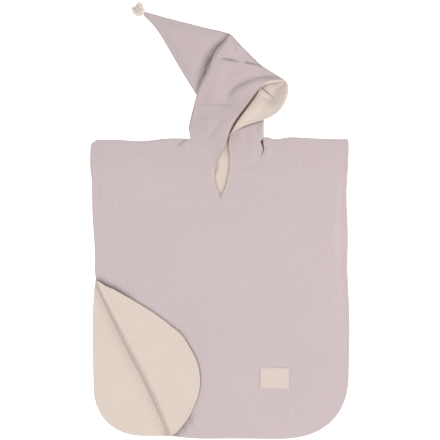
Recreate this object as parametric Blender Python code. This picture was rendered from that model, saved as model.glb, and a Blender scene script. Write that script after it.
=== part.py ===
"""Child's hooded bath poncho, laid out flat on its back.

Two plies everywhere: a muslin shell and a terry lining. A front and a back panel lie on each
other, joined at the shoulders and open at the sides. The pointed hood lies above them on its
left side, its tip tucked under and pointing up and to the left. The lower left corner of the
front is folded over, with its lining up.

Axes: +Z up, +Y towards the hood's tip, +X to the right. The underside rests on z = 0.
All shapes are worked out in millimetres and put into the meshes in metres.
Every panel is a middle surface, of which the shell is the ply on the outer side of the
garment and the lining the ply on its inner side.
"""
import math
import random

import bmesh
import bpy
import numpy as np

# ---- driving dimensions, mm ------------------------------------------------------------
MM = 0.001
PLY = 1.2                  # thickness of one ply
GAP = 0.3                  # clearance between plies, and at seams
HALF = PLY + GAP / 2       # from a panel's middle surface to its outer face
STEP = 2 * HALF + GAP      # from one panel's middle surface to that of the panel on it
BEND = STEP / 2            # radius of a panel's middle surface where it turns over a seam
ROUND = BEND + HALF        # from the start of such a turn to its outermost point
RUN_ON = 0.7               # how far a lining goes on past the start of its shell's turn

BACK_LEVEL = HALF                    # the back's middle surface
FRONT_LEVEL = BACK_LEVEL + STEP      # the front's middle surface
SEAM_LEVEL = BACK_LEVEL + BEND       # the seam between two panels that lie on each other

FLAP_BEND = 1.85           # radius of the front's middle surface at its folded corner
FLAP_LEVEL = FRONT_LEVEL + 2 * FLAP_BEND
FLAP_LEAST = 1.5           # least width of the folded corner past its bend

HOOD_PUFF = 10.0           # how far the hood's upper side stands off its lower side
PUFF_EASE = (55.0, 50.0)   # how far from the side and the crown that puff is reached
PUFF_RISE = (140.0, 110.0)  # y where it starts above the neckline, and over what height it comes
TUCK_HOLD = 8.0            # how far past the tucked layers the hood's upper side keeps its height
TUCK_EASE = 60.0           # how far from the tuck it has come down again
TUCK_OVERLAP = (26.0, 6.0)  # the hood's tuck, at its left and right end
TIP_PUFF = 5.5             # how far the tip's upper side stands off its lower side
TIP_EASE = (26.0, 30.0)    # how far from the tip's edges and from the tuck that puff is reached
TIP_STARTS = ((-1.5, 3.0), (-3.0, 0.5))   # where the tip's edges start, past the tuck's corners
RIM_LIP = 6.0              # width of lining that rolls out at the hood's upper rim
LIP_START = 0.4            # part of the rim's length where it starts
LIP_LEAST = 1.8            # its width where it starts and ends
LIP_FORM = ((0.0, 0.0), (0.5, 0.8), (1.0, 0.4))   # (part of its width, rise of a full lip)
NECK_ROOM = (0.4, 1.1)     # clearance of hood from front at the slit, and what it gains by the side
LABEL_SIZE = (68.0, 50.0)
LABEL_CENTRE = (126.9, -366.8)
LABEL_TURN = math.radians(-1.5)
LABEL_THICKNESS = 1.0
LABEL_CORNER = 1.5         # radius of the label's corners
TUFT_CENTRE = (-183.8, 484.7, 9.2)
TUFT_HEAD = (6.8, 6.8, 5.6)          # half sizes of the tuft's head
LOCKS = (9.0, 14.5)                  # shortest and longest of the tuft's locks
LOCKS_BY_CLOTH = (5.0, 8.0)          # of those that lean on the cloth
LOCK_STUB = 1.2                      # of those that would grow into it
LOCKS_DROOP = (4.4, 3.0)             # what locks that point up and to the left have more
TO_CLOTH = (0.83, -0.55, 0.0)        # from the tuft towards the tip that carries it

MAUVE = (0.62, 0.52, 0.53)
CREAM = (0.75, 0.63, 0.55)
TUFT_CREAM = (0.72, 0.62, 0.56)
LABEL_CREAM = (0.78, 0.66, 0.60)

# ---- outlines, mm: each is a smooth curve through (x, y) --------------------------------
NECK_LEFT = ((-67.5, 185.9), (-67.0, 169.6), (-60.8, 151.0), (-46.4, 137.1), (-30.2, 131.5),
             (-10.4, 130.2))
NECK_RIGHT = ((24.6, 127.8), (41.8, 124.8), (62.6, 125.5), (81.2, 131.3), (94.0, 144.1), (98.7, 165.0),
              (99.6, 188.7))
SLIT_LEFT = ((-10.4, 130.2), (-13.2, 110.4), (-12.5, 93.0), (-7.4, 75.6), (0.5, 55.9))
SLIT_RIGHT = ((0.5, 55.9), (8.8, 65.2), (16.9, 86.1), (22.3, 111.6), (24.6, 127.8))
SHOULDER_LEFT = ((-67.5, 185.9), (-127.6, 186.4), (-178.6, 180.9), (-232.0, 183.6), (-289.0, 183.2))
SHOULDER_RIGHT = ((99.6, 188.7), (111.4, 189.9), (123.0, 185.6), (146.2, 187.6), (197.2, 187.6),
                  (296.5, 183.4))
FRONT_LEFT = ((-289.0, 183.2), (-297.4, 180.0), (-300.3, 171.5), (-299.3, 120.9), (-296.2, 11.8),
              (-290.2, -101.8))
FOLD_TOP = (-286.5, -137.8)
FOLD_FOOT = (-112.5, -502.0)
HEM = ((-83.5, -505.5), (0.0, -507.8), (125.3, -508.6))
CORNER_CENTRE = (125.3, -346.6)
CORNER_REACH = (174.0, 162.0)
FRONT_RIGHT = ((299.3, -346.6), (300.4, -208.6), (296.2, -97.2), (297.4, -46.2), (293.9, 69.8),
               (297.0, 158.0), (298.6, 179.0), (296.5, 183.4))
CORNER_POWER = 2.5         # how square the lower right corner is: 2 is an ellipse
BACK_LEFT = ((183.0, -288.0), (180.0, -295.0), (171.9, -298.6), (69.8, -295.3), (-46.2, -292.3),
             (-120.4, -290.0), (-162.2, -294.6), (-255.0, -296.5), (-382.6, -294.9))   # (y, x)
BACK_CORNER = (-174.0, -382.6, 120.9, 119.2)   # centre x, y and reach of its lower left corner
BACK_CORNER_POWER = 2.25
BACK_INSET = 1.5           # how far the back's right edge lies inside the front's

# (distance along the fold from its top, reach of the folded corner from the fold line)
FLAP_REACH = ((0, 0), (13, 11.6), (49, 38.3), (90, 70.1), (124, 92.3), (160, 113.7), (202, 126.9),
              (241, 132), (290, 126.2), (333, 109.3), (350, 94), (368, 75.6), (385, 57.3),
              (397, 38.7), (404, 17.2), (406.7, 0))

HOOD_LEFT_EDGE = ((-68.8, 189.8), (-73.5, 206.7), (-72.8, 223.0), (-68.4, 243.8), (-62.6, 264.7),
                  (-56.1, 289.1))
TUCK = ((-56.1, 289.1), (-48.7, 305.3), (-38.3, 325.0), (-19.7, 369.1), (3.5, 409.7), (20.9, 428.3))
CROWN = ((20.9, 428.3), (37.1, 417.8), (74.2, 380.7), (92.8, 361.5), (111.4, 348.2), (136.9, 333.6),
         (150.8, 323.9))
NEAR_RIM = ((-4.6, 145.2), (15.5, 181.2), (21.6, 198.6), (47.6, 243.1), (78.9, 285.6), (91.2, 306.0),
            (103.5, 315.0), (120.6, 319.8), (136.9, 321.4))
FAR_RIM = ((16.0, 189.3), (34.8, 205.6), (78.9, 223.0), (120.6, 240.8), (136.9, 254.3), (148.5, 272.8),
           (155.4, 294.9), (156.1, 311.1))
TIP_LOWER = ((-56.1, 289.1), (-88.2, 343.6), (-120.6, 399.3), (-157.8, 455.0), (-174.0, 471.2))
TIP_UPPER = ((20.9, 428.3), (-20.9, 445.0), (-60.3, 455.0), (-99.8, 464.2), (-136.9, 474.0), (-174.7, 484.4))

# Creases pressed into the hood's upper side: (x0, y0, x1, y1, x2, y2, half width, depth)
CREASES = ((99.8, 354.0, 46.4, 367.0, 0.0, 371.4, 9.0, 4.0),
           (139.2, 332.0, 69.6, 327.4, 15.1, 290.2, 11.0, 4.5),
           (-48.7, 270.5, -11.6, 270.5, 27.8, 268.2, 9.0, 2.0),
           (16.2, 246.2, -7.0, 218.3, -37.1, 181.2, 12.0, 2.5))
# Lift of the hood's lower side along its rim: (part of the rim's length, lift, full to, gone at)
RIM_LIFT = ((0.0, 9.0, 26.0, 70.0), (0.45, 9.0, 26.0, 70.0), (0.65, 11.0, 8.0, 45.0),
            (0.85, 12.0, 5.0, 34.0), (1.0, 6.0, 4.0, 30.0))
NECK_BACK_END = 9.0        # x where the wrapped neck ends, under the hood's lower side
NECK_FOLD_X = 102.1        # x of the wrapped neck's fold
NECK_FOLD_Y = (192.1, 248.0)              # y of its foot and its top
NECK_LEFT_EDGE = ((23.4, 151.0), (19.2, 181.2), (20.6, 203.0), (22.0, 214.0))
NECK_BACK_Y = (189.6, 207.0)              # y of the wrapped neck's end, under the hood
BACK_NECK = ((16.0, 188.9), (99.6, 191.3))  # top line of the back between its shoulders
# Soft folds down the neck: (x, half width, height)
NECK_FOLDS = ((49.0, 8.0, 2.2), (74.0, 9.0, 1.6))


# ---- curves and surfaces ----------------------------------------------------------------
def smooth(t):
    """0 up to t = 0, 1 from t = 1, and an S-shaped rise between."""
    t = np.clip(t, 0.0, 1.0)
    return t * t * (3 - 2 * t)


def curve(points, count):
    """Natural cubic spline through the points, by chord length, as evenly spaced samples."""
    points = np.array(points, dtype=float)
    chord = np.concatenate(([0.0], np.cumsum(np.linalg.norm(np.diff(points, axis=0), axis=1))))
    size = len(points)
    step = np.diff(chord)
    system = np.eye(size)
    right = np.zeros((size, points.shape[1]))
    for i in range(1, size - 1):
        system[i, i - 1:i + 2] = step[i - 1], 2 * (step[i - 1] + step[i]), step[i]
        right[i] = 6 * ((points[i + 1] - points[i]) / step[i] - (points[i] - points[i - 1]) / step[i - 1])
    second = np.linalg.solve(system, right)
    fine = np.linspace(0, chord[-1], 40 * size)
    k = np.clip(np.searchsorted(chord, fine, side="right") - 1, 0, size - 2)
    h, a, b = step[k][:, None], (chord[k + 1] - fine)[:, None], (fine - chord[k])[:, None]
    line = (second[k] * a ** 3 + second[k + 1] * b ** 3) / (6 * h)
    line += (points[k] / h - second[k] * h / 6) * a + (points[k + 1] / h - second[k + 1] * h / 6) * b
    return resample(line, count)


def resample(line, count):
    """The same line with evenly spaced points."""
    along = np.concatenate(([0.0], np.cumsum(np.linalg.norm(np.diff(line, axis=0), axis=1))))
    spots = np.linspace(0, along[-1], count)
    return np.stack([np.interp(spots, along, line[:, axis]) for axis in range(line.shape[1])], axis=1)


def join(*lines):
    """Lines end to end, each shared point kept once."""
    return np.concatenate([lines[0]] + [line[1:] for line in lines[1:]])


def left_of(line):
    """Unit normals to the left of a line's direction, in plan."""
    along = np.gradient(line[:, :2], axis=0)
    along /= np.linalg.norm(along, axis=1, keepdims=True)
    return np.stack((-along[:, 1], along[:, 0]), axis=1)


def corner_inset(corner, first, second, distance):
    """The point that lies a distance inside both of two edges that meet at a corner."""
    return np.array(corner) + np.linalg.solve(np.array((first, second)), (-distance, -distance))


def patch(bottom, top, left, right):
    """Coons patch between four edges; the first index runs along bottom, the second along left."""
    u = np.linspace(0, 1, len(bottom))[:, None, None]
    v = np.linspace(0, 1, len(left))[None, :, None]
    across = (1 - v) * bottom[:, None] + v * top[:, None]
    up = (1 - u) * left[None] + u * right[None]
    corners = (1 - u) * (1 - v) * bottom[0] + u * (1 - v) * bottom[-1]
    corners = corners + (1 - u) * v * top[0] + u * v * top[-1]
    return across + up - corners


def raised(plan, height):
    """A plan grid lifted to a height, which is one number or one for each point."""
    return np.concatenate((plan, np.broadcast_to(height, plan.shape[:-1])[..., None]), axis=-1)


def distance_to(plan, line):
    """Distance of each point of a plan grid from a line, and where along the line that is, 0 to 1."""
    best = np.full(plan.shape[:-1], 1e9)
    where = np.zeros(plan.shape[:-1])
    for i, (a, b) in enumerate(zip(line[:-1], line[1:])):
        t = np.clip(((plan - a) @ (b - a)) / ((b - a) @ (b - a)), 0, 1)
        gap = np.linalg.norm(plan - (a + t[..., None] * (b - a)), axis=-1)
        near = gap < best
        best = np.where(near, gap, best)
        where = np.where(near, (i + t) / (len(line) - 1), where)
    return best, where


def run_on(edge, outward, seam):
    """A strip that carries a lining flat towards its seam, inside the shell's turn."""
    return np.stack((edge, raised(edge[:, :2] + outward * RUN_ON, edge[:, 2])))


def turn_down(edge, outward, seam):
    """A strip that rounds over from a panel's edge and drops straight to its seam."""
    rows = [edge]
    height = edge[:, 2]
    sign = np.sign(seam - height)
    depth = np.minimum(np.abs(seam - height) - 1.5 * GAP, BEND)
    for angle in np.radians((30, 60, 90)):
        plan = edge[:, :2] + outward * BEND * math.sin(angle)
        rows.append(raised(plan, height + sign * depth * (1 - math.cos(angle))))
    rows.append(raised(edge[:, :2] + outward * BEND, seam - sign * GAP / 2))
    return np.stack(rows)


def turn_over(edge, outward, radius, levels, rise):
    """A strip that rounds right over from a panel's edge to the level above or below it."""
    rows = []
    for angle in np.linspace(0, math.pi, levels + 1):
        plan = edge[:, :2] + outward * np.reshape(radius * math.sin(angle), (-1, 1))
        rows.append(raised(plan, edge[:, 2] + rise * radius * (1 - math.cos(angle))))
    return np.stack(rows)


# ---- solids -----------------------------------------------------------------------------
def material(name, colour, roughness):
    surface = bpy.data.materials.new(name)
    surface.use_nodes = True
    shader = surface.node_tree.nodes["Principled BSDF"]
    shader.inputs["Base Color"].default_value = (*colour, 1.0)
    shader.inputs["Roughness"].default_value = roughness
    shader.inputs["Metallic"].default_value = 0.0
    return surface


def add_object(name, mesh, colour, roughness=0.9):
    mesh.materials.append(material(name + "_cloth", colour, roughness))
    bpy.context.scene.collection.objects.link(bpy.data.objects.new(name, mesh))


def middle_surface(sheets, outer_up):
    """Grids welded into one surface whose normals all point to the garment's outer side."""
    surface = bmesh.new()
    for sheet in sheets:
        columns = sheet.shape[1]
        verts = [surface.verts.new(point) for point in sheet.reshape(-1, 3)]
        for i in range(sheet.shape[0] - 1):
            for j in range(columns - 1):
                k = i * columns + j
                surface.faces.new((verts[k], verts[k + columns], verts[k + columns + 1], verts[k + 1]))
    bmesh.ops.remove_doubles(surface, verts=surface.verts, dist=0.01)
    bmesh.ops.triangulate(surface, faces=surface.faces, quad_method="SHORT_EDGE")
    bmesh.ops.recalc_face_normals(surface, faces=surface.faces)
    surface.normal_update()
    surface.faces.ensure_lookup_table()
    if (surface.faces[0].normal.z > 0) != outer_up:
        bmesh.ops.reverse_faces(surface, faces=surface.faces)
        surface.normal_update()
    return surface


def ply(name, sheets, outer_up, low, high, colour):
    """A closed wall that follows the middle surface between two offsets from it."""
    surface = middle_surface(sheets, outer_up)
    surface.verts.index_update()
    count = len(surface.verts)
    points = np.array([v.co for v in surface.verts])
    normals = np.array([v.normal for v in surface.verts])
    verts = np.concatenate((points + normals * high, points + normals * low)) * MM
    faces = []
    for face in surface.faces:
        ring = [v.index for v in face.verts]
        faces.append(ring)
        faces.append([i + count for i in reversed(ring)])
    for edge in surface.edges:
        if edge.is_boundary:
            loop = edge.link_loops[0]
            a = loop.vert.index
            b = loop.link_loop_next.vert.index
            faces.append((b, a, a + count, b + count))
    surface.free()
    mesh = bpy.data.meshes.new(name)
    mesh.from_pydata(verts.tolist(), [], faces)
    mesh.shade_smooth()
    mesh.set_sharp_from_angle(angle=math.radians(40))
    add_object(name, mesh, colour)


def shell(name, sheets, seams, outer_up):
    """The outer ply: it turns over at its seams, each an (edge, way out, seam level)."""
    turns = [turn_down(*seam) for seam in seams]
    ply(name, sheets + turns, outer_up, GAP / 2, HALF, MAUVE)


def lining(name, sheets, seams, outer_up):
    """The inner ply: it ends flat inside the shell's turns."""
    ends = [run_on(*seam) for seam in seams]
    ply(name, sheets + ends, outer_up, -HALF, -GAP / 2, CREAM)


# ---- front, with its folded corner ------------------------------------------------------
def front_sheets():
    """The front round its neckline and slit and its folded corner, and its shoulder seams."""
    fold = np.array(FOLD_FOOT) - np.array(FOLD_TOP)
    fold_length = np.linalg.norm(fold)
    fold /= fold_length
    across = np.array((-fold[1], fold[0]))
    start = FLAP_BEND + HALF
    fold_top = np.array(FOLD_TOP) + across * start
    fold_foot = np.array(FOLD_FOOT) + across * start

    inner = join(curve(NECK_LEFT, 14), curve(SLIT_LEFT, 15), curve(SLIT_RIGHT, 12), curve(NECK_RIGHT, 16))
    side = curve(FRONT_LEFT + (tuple(fold_top),), 13)
    fold_line = resample(np.array((fold_top, fold_foot)), 19)
    hem = curve((tuple(fold_foot),) + HEM, 5)
    angles = np.linspace(-math.pi / 2, 0, 10)
    power = 2 / CORNER_POWER
    corner = np.stack((CORNER_CENTRE[0] + CORNER_REACH[0] * np.cos(angles).clip(0) ** power,
                       CORNER_CENTRE[1] - CORNER_REACH[1] * np.abs(np.sin(angles)) ** power), axis=1)
    corner[-1] = FRONT_RIGHT[0]
    outer = join(side, fold_line, hem, corner, curve(FRONT_RIGHT, 11))
    left = curve(SHOULDER_LEFT, 9)
    right = curve(SHOULDER_RIGHT, 9)
    panel = raised(patch(inner, outer, left, right), FRONT_LEVEL)

    seams = []
    for edge in (panel[0], panel[-1]):
        up = np.tile((0.0, 1.0), (len(edge), 1))
        seams.append((edge, up, SEAM_LEVEL))

    edge = raised(fold_line, FRONT_LEVEL)
    away = np.tile(-across, (len(edge), 1))
    bend = turn_over(edge, away, FLAP_BEND, 8, 1)
    spots = (fold_line - np.array(FOLD_TOP)) @ fold
    reach = curve([(float(t), float(p)) for t, p in FLAP_REACH], 200)
    width = np.maximum(np.interp(spots, reach[:, 0], reach[:, 1]) - start, FLAP_LEAST)
    share = np.linspace(0, 1, 6)[:, None, None]
    flap = raised(fold_line[None] + share * width[None, :, None] * across, FLAP_LEVEL)
    return [panel, bend, flap], seams


# ---- back -------------------------------------------------------------------------------
def back_sheets():
    """The back in rows from shoulder to hem with its edge at the neck, and its shoulder seams."""
    left_table = curve(BACK_LEFT, 200)
    right_table = curve([(y, x - BACK_INSET) for x, y in reversed(FRONT_RIGHT)], 200)
    corner_x, corner_y, reach_x, reach_y = BACK_CORNER
    hem = corner_y - reach_y
    right_reach = (CORNER_REACH[0] - BACK_INSET, CORNER_CENTRE[1] - hem)
    rows = np.concatenate((np.linspace(183.0, CORNER_CENTRE[1], 9)[:-1],
                           np.linspace(CORNER_CENTRE[1], hem + 45, 4)[:-1],
                           hem + 45 * np.linspace(1, 0, 10) ** 2))

    def side(table, y):
        return np.interp(-y, -table[:, 0], table[:, 1])

    def bulge(y, centre_y, reach, power):
        share = np.clip((centre_y - y) / reach[1], 0, 1)
        return reach[0] * (1 - (1 - share ** power).clip(0) ** (1 / power))

    left = side(left_table, np.maximum(rows, corner_y))
    left = left + bulge(rows, corner_y, (reach_x, reach_y), BACK_CORNER_POWER)
    right = side(right_table, np.maximum(rows, CORNER_CENTRE[1] + 1))
    right = right - bulge(rows, CORNER_CENTRE[1], right_reach, CORNER_POWER)

    neck_left, neck_right = NECK_LEFT[0][0], NECK_RIGHT[-1][0]
    spots = np.concatenate((np.linspace(left[0], neck_left, 7), np.linspace(neck_left, neck_right, 6)[1:],
                            np.linspace(neck_right, right[0], 7)[1:]))
    share = (spots - left[0]) / (right[0] - left[0])
    plan = np.stack((left[None] + share[:, None] * (right - left)[None],
                     np.broadcast_to(rows, (len(share), len(rows)))), axis=-1)
    shoulder_left = curve(SHOULDER_LEFT, 60)[::-1]
    shoulder_right = curve(SHOULDER_RIGHT, 60)
    top = np.interp(spots, np.concatenate((shoulder_left[:, 0], shoulder_right[:, 0])),
                    np.concatenate((shoulder_left[:, 1], shoulder_right[:, 1])))
    plan[:, 0, 1] = top
    panel = raised(plan, BACK_LEVEL)

    seams = []
    for edge in (panel[:7, 0], panel[11:, 0]):
        up = np.tile((0.0, 1.0), (len(edge), 1))
        seams.append((edge, up, SEAM_LEVEL))
    neck = panel[6:12, 0]
    lifted = neck.copy()
    lifted[:, 1] = np.interp(neck[:, 0], *zip(*BACK_NECK))
    lifted[0, 0] += BEND
    lifted[-1, 0] -= BEND
    return [panel, np.stack((neck, lifted))], seams


# ---- hood -------------------------------------------------------------------------------
NECK_ROWS = 10      # samples round the left half of the hood's neckline
SIDE_ROWS = 9       # samples up the hood's left edge
TUCK_ROWS = 12      # samples along its tuck
HOOD_COLUMNS = 13
TIP_COLUMNS = 11


def hood_edges():
    """The hood's outlines, and their insets where its sides turn over to their seam."""
    side, tuck = curve(HOOD_LEFT_EDGE, SIDE_ROWS), curve(TUCK, TUCK_ROWS)
    crown = curve(CROWN, HOOD_COLUMNS)
    lower, upper = curve(TIP_LOWER, TIP_COLUMNS), curve(TIP_UPPER, TIP_COLUMNS)
    side_flat = side - left_of(side) * ROUND
    crown_flat = crown - left_of(crown) * ROUND
    lower_flat = lower - left_of(lower) * ROUND
    upper_flat = upper + left_of(upper) * ROUND
    low_corner = corner_inset(side[-1], left_of(side)[-1], left_of(lower)[0], ROUND)
    high_corner = corner_inset(crown[0], left_of(crown)[0], -left_of(upper)[0], ROUND)
    tuck_corner = corner_inset(crown[0], left_of(crown)[0], left_of(tuck)[-1], ROUND)
    return {"side": side_flat, "tuck": tuck, "crown": crown_flat, "lower": lower_flat, "upper": upper_flat,
            "low_corner": low_corner, "high_corner": high_corner, "tuck_corner": tuck_corner}


def rim_curve(edges):
    return curve(FAR_RIM + (tuple(edges["crown"][-1]),), SIDE_ROWS + TUCK_ROWS - 1)


def lower_side_height(plan, rim):
    """Height of the hood's lower side: flat on the ground, lifted along its rim."""
    gap, where = distance_to(plan, rim)
    stations = np.array(RIM_LIFT)
    lift, full, gone = (np.interp(where, stations[:, 0], stations[:, k]) for k in (1, 2, 3))
    beside_slit = smooth((plan[..., 0] + 2.0) / 20.0)
    return BACK_LEVEL + lift * beside_slit * (1 - smooth((gap - full) / (gone - full)))


def upper_side_height(plan, rim):
    """Height of the hood's upper side: clear of the lower side, puffed and creased."""
    to_side, _ = distance_to(plan, curve(HOOD_LEFT_EDGE, 12))
    to_crown, _ = distance_to(plan, curve(CROWN, 16))
    to_tuck, where = distance_to(plan, curve(TUCK, 16))
    risen = smooth((plan[..., 1] - PUFF_RISE[0]) / PUFF_RISE[1])
    puff = HOOD_PUFF * smooth(to_side / PUFF_EASE[0]) * smooth(to_crown / PUFF_EASE[1]) * risen
    held = TUCK_OVERLAP[0] * (1 - where) + TUCK_OVERLAP[1] * where + TUCK_HOLD
    over_tuck = 2 * STEP * (1 - smooth((to_tuck - held) / (TUCK_EASE - held)))
    extra = np.hypot(puff, over_tuck)
    for x0, y0, x1, y1, x2, y2, width, depth in CREASES:
        gap, where = distance_to(plan, curve(((x0, y0), (x1, y1), (x2, y2)), 12))
        fade = np.sin(np.pi * np.clip(where, 0.08, 0.92)) ** 0.5
        extra = extra - depth * fade * np.exp(-(gap / width) ** 2) * smooth(extra / 8)
    return lower_side_height(plan, rim) + STEP + np.maximum(extra, over_tuck)


def hood_lower_sheets():
    """The hood's left side, one sheet on the ground with the tip, and its seams."""
    edges = hood_edges()
    rim = rim_curve(edges)
    side = edges["side"].copy()
    side[-1] = edges["low_corner"]
    crown = edges["crown"].copy()
    crown[0] = edges["high_corner"]
    middle = edges["tuck"].copy()
    middle[0], middle[-1] = edges["low_corner"], edges["high_corner"]
    bottom = resample(np.array((side[0], rim[0])), HOOD_COLUMNS)
    main_plan = patch(bottom, crown, join(side, middle), rim)
    main = raised(main_plan, lower_side_height(main_plan, rim))

    lower, upper = edges["lower"].copy(), edges["upper"].copy()
    lower[0], upper[0] = middle[0], middle[-1]
    end = resample(np.array((lower[-1], upper[-1])), TUCK_ROWS)
    tip = raised(patch(middle, end, lower, upper), BACK_LEVEL)

    left_line = join(main[0, :SIDE_ROWS], tip[0])
    right_line = join(main[::-1, -1], tip[-1])
    seams = [(left_line, left_of(left_line), left_line[:, 2] + BEND),
             (right_line, -left_of(right_line), right_line[:, 2] + BEND)]
    return [main, tip], seams


def hood_upper_sheets(with_lip):
    """The hood's right side and its seams: it bulges over the left side, folds under and back at
    the tuck, and goes on as the upper side of the tip. The lining has a lip past its rim."""
    edges = hood_edges()
    far_rim = rim_curve(edges)
    seam_row = NECK_ROWS - 1
    tuck_row = seam_row + SIDE_ROWS - 1
    rows = tuck_row + TUCK_ROWS
    neck = curve(NECK_LEFT[::-1], NECK_ROWS)
    corner_room = NECK_ROOM[0] + NECK_ROOM[1] * np.linspace(0, 1, NECK_ROWS) ** 3
    neck = neck - left_of(neck) * corner_room[:, None]
    neck[-1] = edges["side"][0]
    crown = edges["crown"].copy()
    crown[0] = edges["tuck_corner"]
    rim = curve((tuple(neck[0]),) + NEAR_RIM + (tuple(crown[-1]),), rows)

    tuck = edges["tuck"]
    outward = left_of(tuck)
    top_level = upper_side_height(tuck, far_rim)
    under_level = FRONT_LEVEL + STEP
    radius = (top_level - under_level) / 2
    radius[0] = radius[-1] = BEND
    start = tuck - outward * (radius + HALF)[:, None]
    start[-1] = edges["tuck_corner"]
    side = edges["side"].copy()
    side[-1] = start[0]
    slit_top = np.tile(neck[0], (HOOD_COLUMNS, 1))
    plan = patch(slit_top, crown, join(neck, side, start), rim)
    height = upper_side_height(plan, far_rim)
    height[0, tuck_row:] = under_level + 2 * radius
    main = raised(plan, height)

    fold = turn_over(main[0, tuck_row:], outward, radius, 5, -1)
    share = np.linspace(0, 1, TUCK_ROWS)[:, None]
    overlap = TUCK_OVERLAP[0] * (1 - share) + TUCK_OVERLAP[1] * share - BEND - HALF
    hidden = raised(start - outward * overlap, under_level)
    under = np.stack((fold[-1], hidden))
    back_fold = turn_over(hidden, -outward, BEND, 4, -1)

    lower, upper = edges["lower"], edges["upper"]
    first = back_fold[-1][:, :2]
    end = resample(np.array((lower[-1], upper[-1])), TUCK_ROWS)
    low_line = np.concatenate((first[:1], edges["low_corner"][None] + TIP_STARTS[0], lower[1:]))
    high_line = np.concatenate((first[-1:], edges["high_corner"][None] + TIP_STARTS[1], upper[1:]))
    tip_plan = patch(first, end, low_line, high_line)
    to_tuck, _ = distance_to(tip_plan, tuck)
    beyond = np.arange(len(low_line))[None, :] > 1
    to_edge = np.minimum(*(distance_to(tip_plan, curve(line, 20))[0] for line in (TIP_LOWER, TIP_UPPER)))
    puff = TIP_PUFF * smooth(to_edge / TIP_EASE[0]) * smooth(to_tuck / TIP_EASE[1]) * beyond
    tip = raised(tip_plan, FRONT_LEVEL + puff)

    seams = []
    for edge in (main[0, seam_row:tuck_row + 1], main[:, -1]):
        seams.append((edge, left_of(edge), lower_side_height(edge[:, :2], far_rim) + BEND))
    for line, sign in ((tip[0, 2:], 1), (tip[-1, 2:], -1)):
        seams.append((line, sign * left_of(line), SEAM_LEVEL))
    sheets = [main, fold, under, back_fold, tip]
    if with_lip:
        share = np.linspace(0, 1, rows)
        rolled = share > LIP_START
        edge, share = main[-1, rolled], share[rolled]
        reach = LIP_LEAST + RIM_LIP * smooth((share - LIP_START) / 0.25) * smooth((1 - share) / 0.08)
        onward = edge - main[-2, rolled]
        onward *= (reach / np.linalg.norm(onward, axis=1))[:, None]
        lift = np.minimum(reach / RIM_LIP, 1)[:, None] * (0.0, 0.0, 1.0)
        sheets.append(np.stack([edge + onward * part + lift * rise for part, rise in LIP_FORM]))
    return sheets, seams


def hood_neck_sheets():
    """The stretch of the hood's left side that wraps round from the back to the front of the neck."""
    neckline = curve(NECK_RIGHT, 12)
    neckline = neckline + left_of(neckline) * NECK_ROOM[0]
    fold_x = NECK_FOLD_X - ROUND
    neckline[:, 0] = np.minimum(neckline[:, 0], fold_x)
    neckline[-1] = fold_x, NECK_FOLD_Y[0]
    fold_top = (fold_x, NECK_FOLD_Y[1])
    edge = resample(np.array((neckline[-1], fold_top)), 7)
    right = join(neckline, edge)
    left = curve((tuple(neckline[0]),) + NECK_LEFT_EDGE, len(right))
    top = resample(np.array((left[-1], fold_top)), 10)
    plan = patch(np.tile(neckline[0], (10, 1)), top, left, right)
    height = np.full(plan.shape[:2], FRONT_LEVEL)
    to_seam, _ = distance_to(plan, neckline)
    for x, width, rise in NECK_FOLDS:
        height += rise * np.exp(-((plan[..., 0] - x) / width) ** 2) * smooth(to_seam / 22)
    height[-1] = FRONT_LEVEL
    front = raised(plan, height)
    outward = np.tile((1.0, 0.0), (len(edge), 1))
    fold = turn_over(front[-1, -len(edge):], outward, BEND, 6, -1)
    share = np.linspace(0, 1, 5)[:, None, None]
    end = np.stack((np.full(len(edge), NECK_BACK_END), np.linspace(*NECK_BACK_Y, len(edge))), axis=1)
    back = raised((1 - share) * edge[None] + share * end[None], BACK_LEVEL)
    return [front, fold, back], []


# ---- label and tuft ---------------------------------------------------------------------
def add_label():
    """A bare woven patch, a copy of the front's surface moved up, its corners cut round."""
    cosine, sine = math.cos(LABEL_TURN), math.sin(LABEL_TURN)
    turn = np.array(((cosine, -sine), (sine, cosine)))
    reach = np.array(LABEL_SIZE) / 2 - LABEL_CORNER
    outline = []
    for sx, sy, first in ((1, 1, 0), (-1, 1, 90), (-1, -1, 180), (1, -1, 270)):
        for angle in np.radians((first, first + 30, first + 60, first + 90)):
            spot = reach * (sx, sy) + LABEL_CORNER * np.array((math.cos(angle), math.sin(angle)))
            outline.append(turn @ spot + LABEL_CENTRE)
    low = FRONT_LEVEL + HALF + GAP
    count = len(outline)
    verts = [(x * MM, y * MM, level * MM) for level in (low, low + LABEL_THICKNESS) for x, y in outline]
    faces = [list(range(count))[::-1], list(range(count, 2 * count))]
    faces += [(i, (i + 1) % count, count + (i + 1) % count, count + i) for i in range(count)]
    mesh = bpy.data.meshes.new("label")
    mesh.from_pydata(verts, [], faces)
    add_object("label", mesh, LABEL_CREAM, 0.8)


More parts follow.
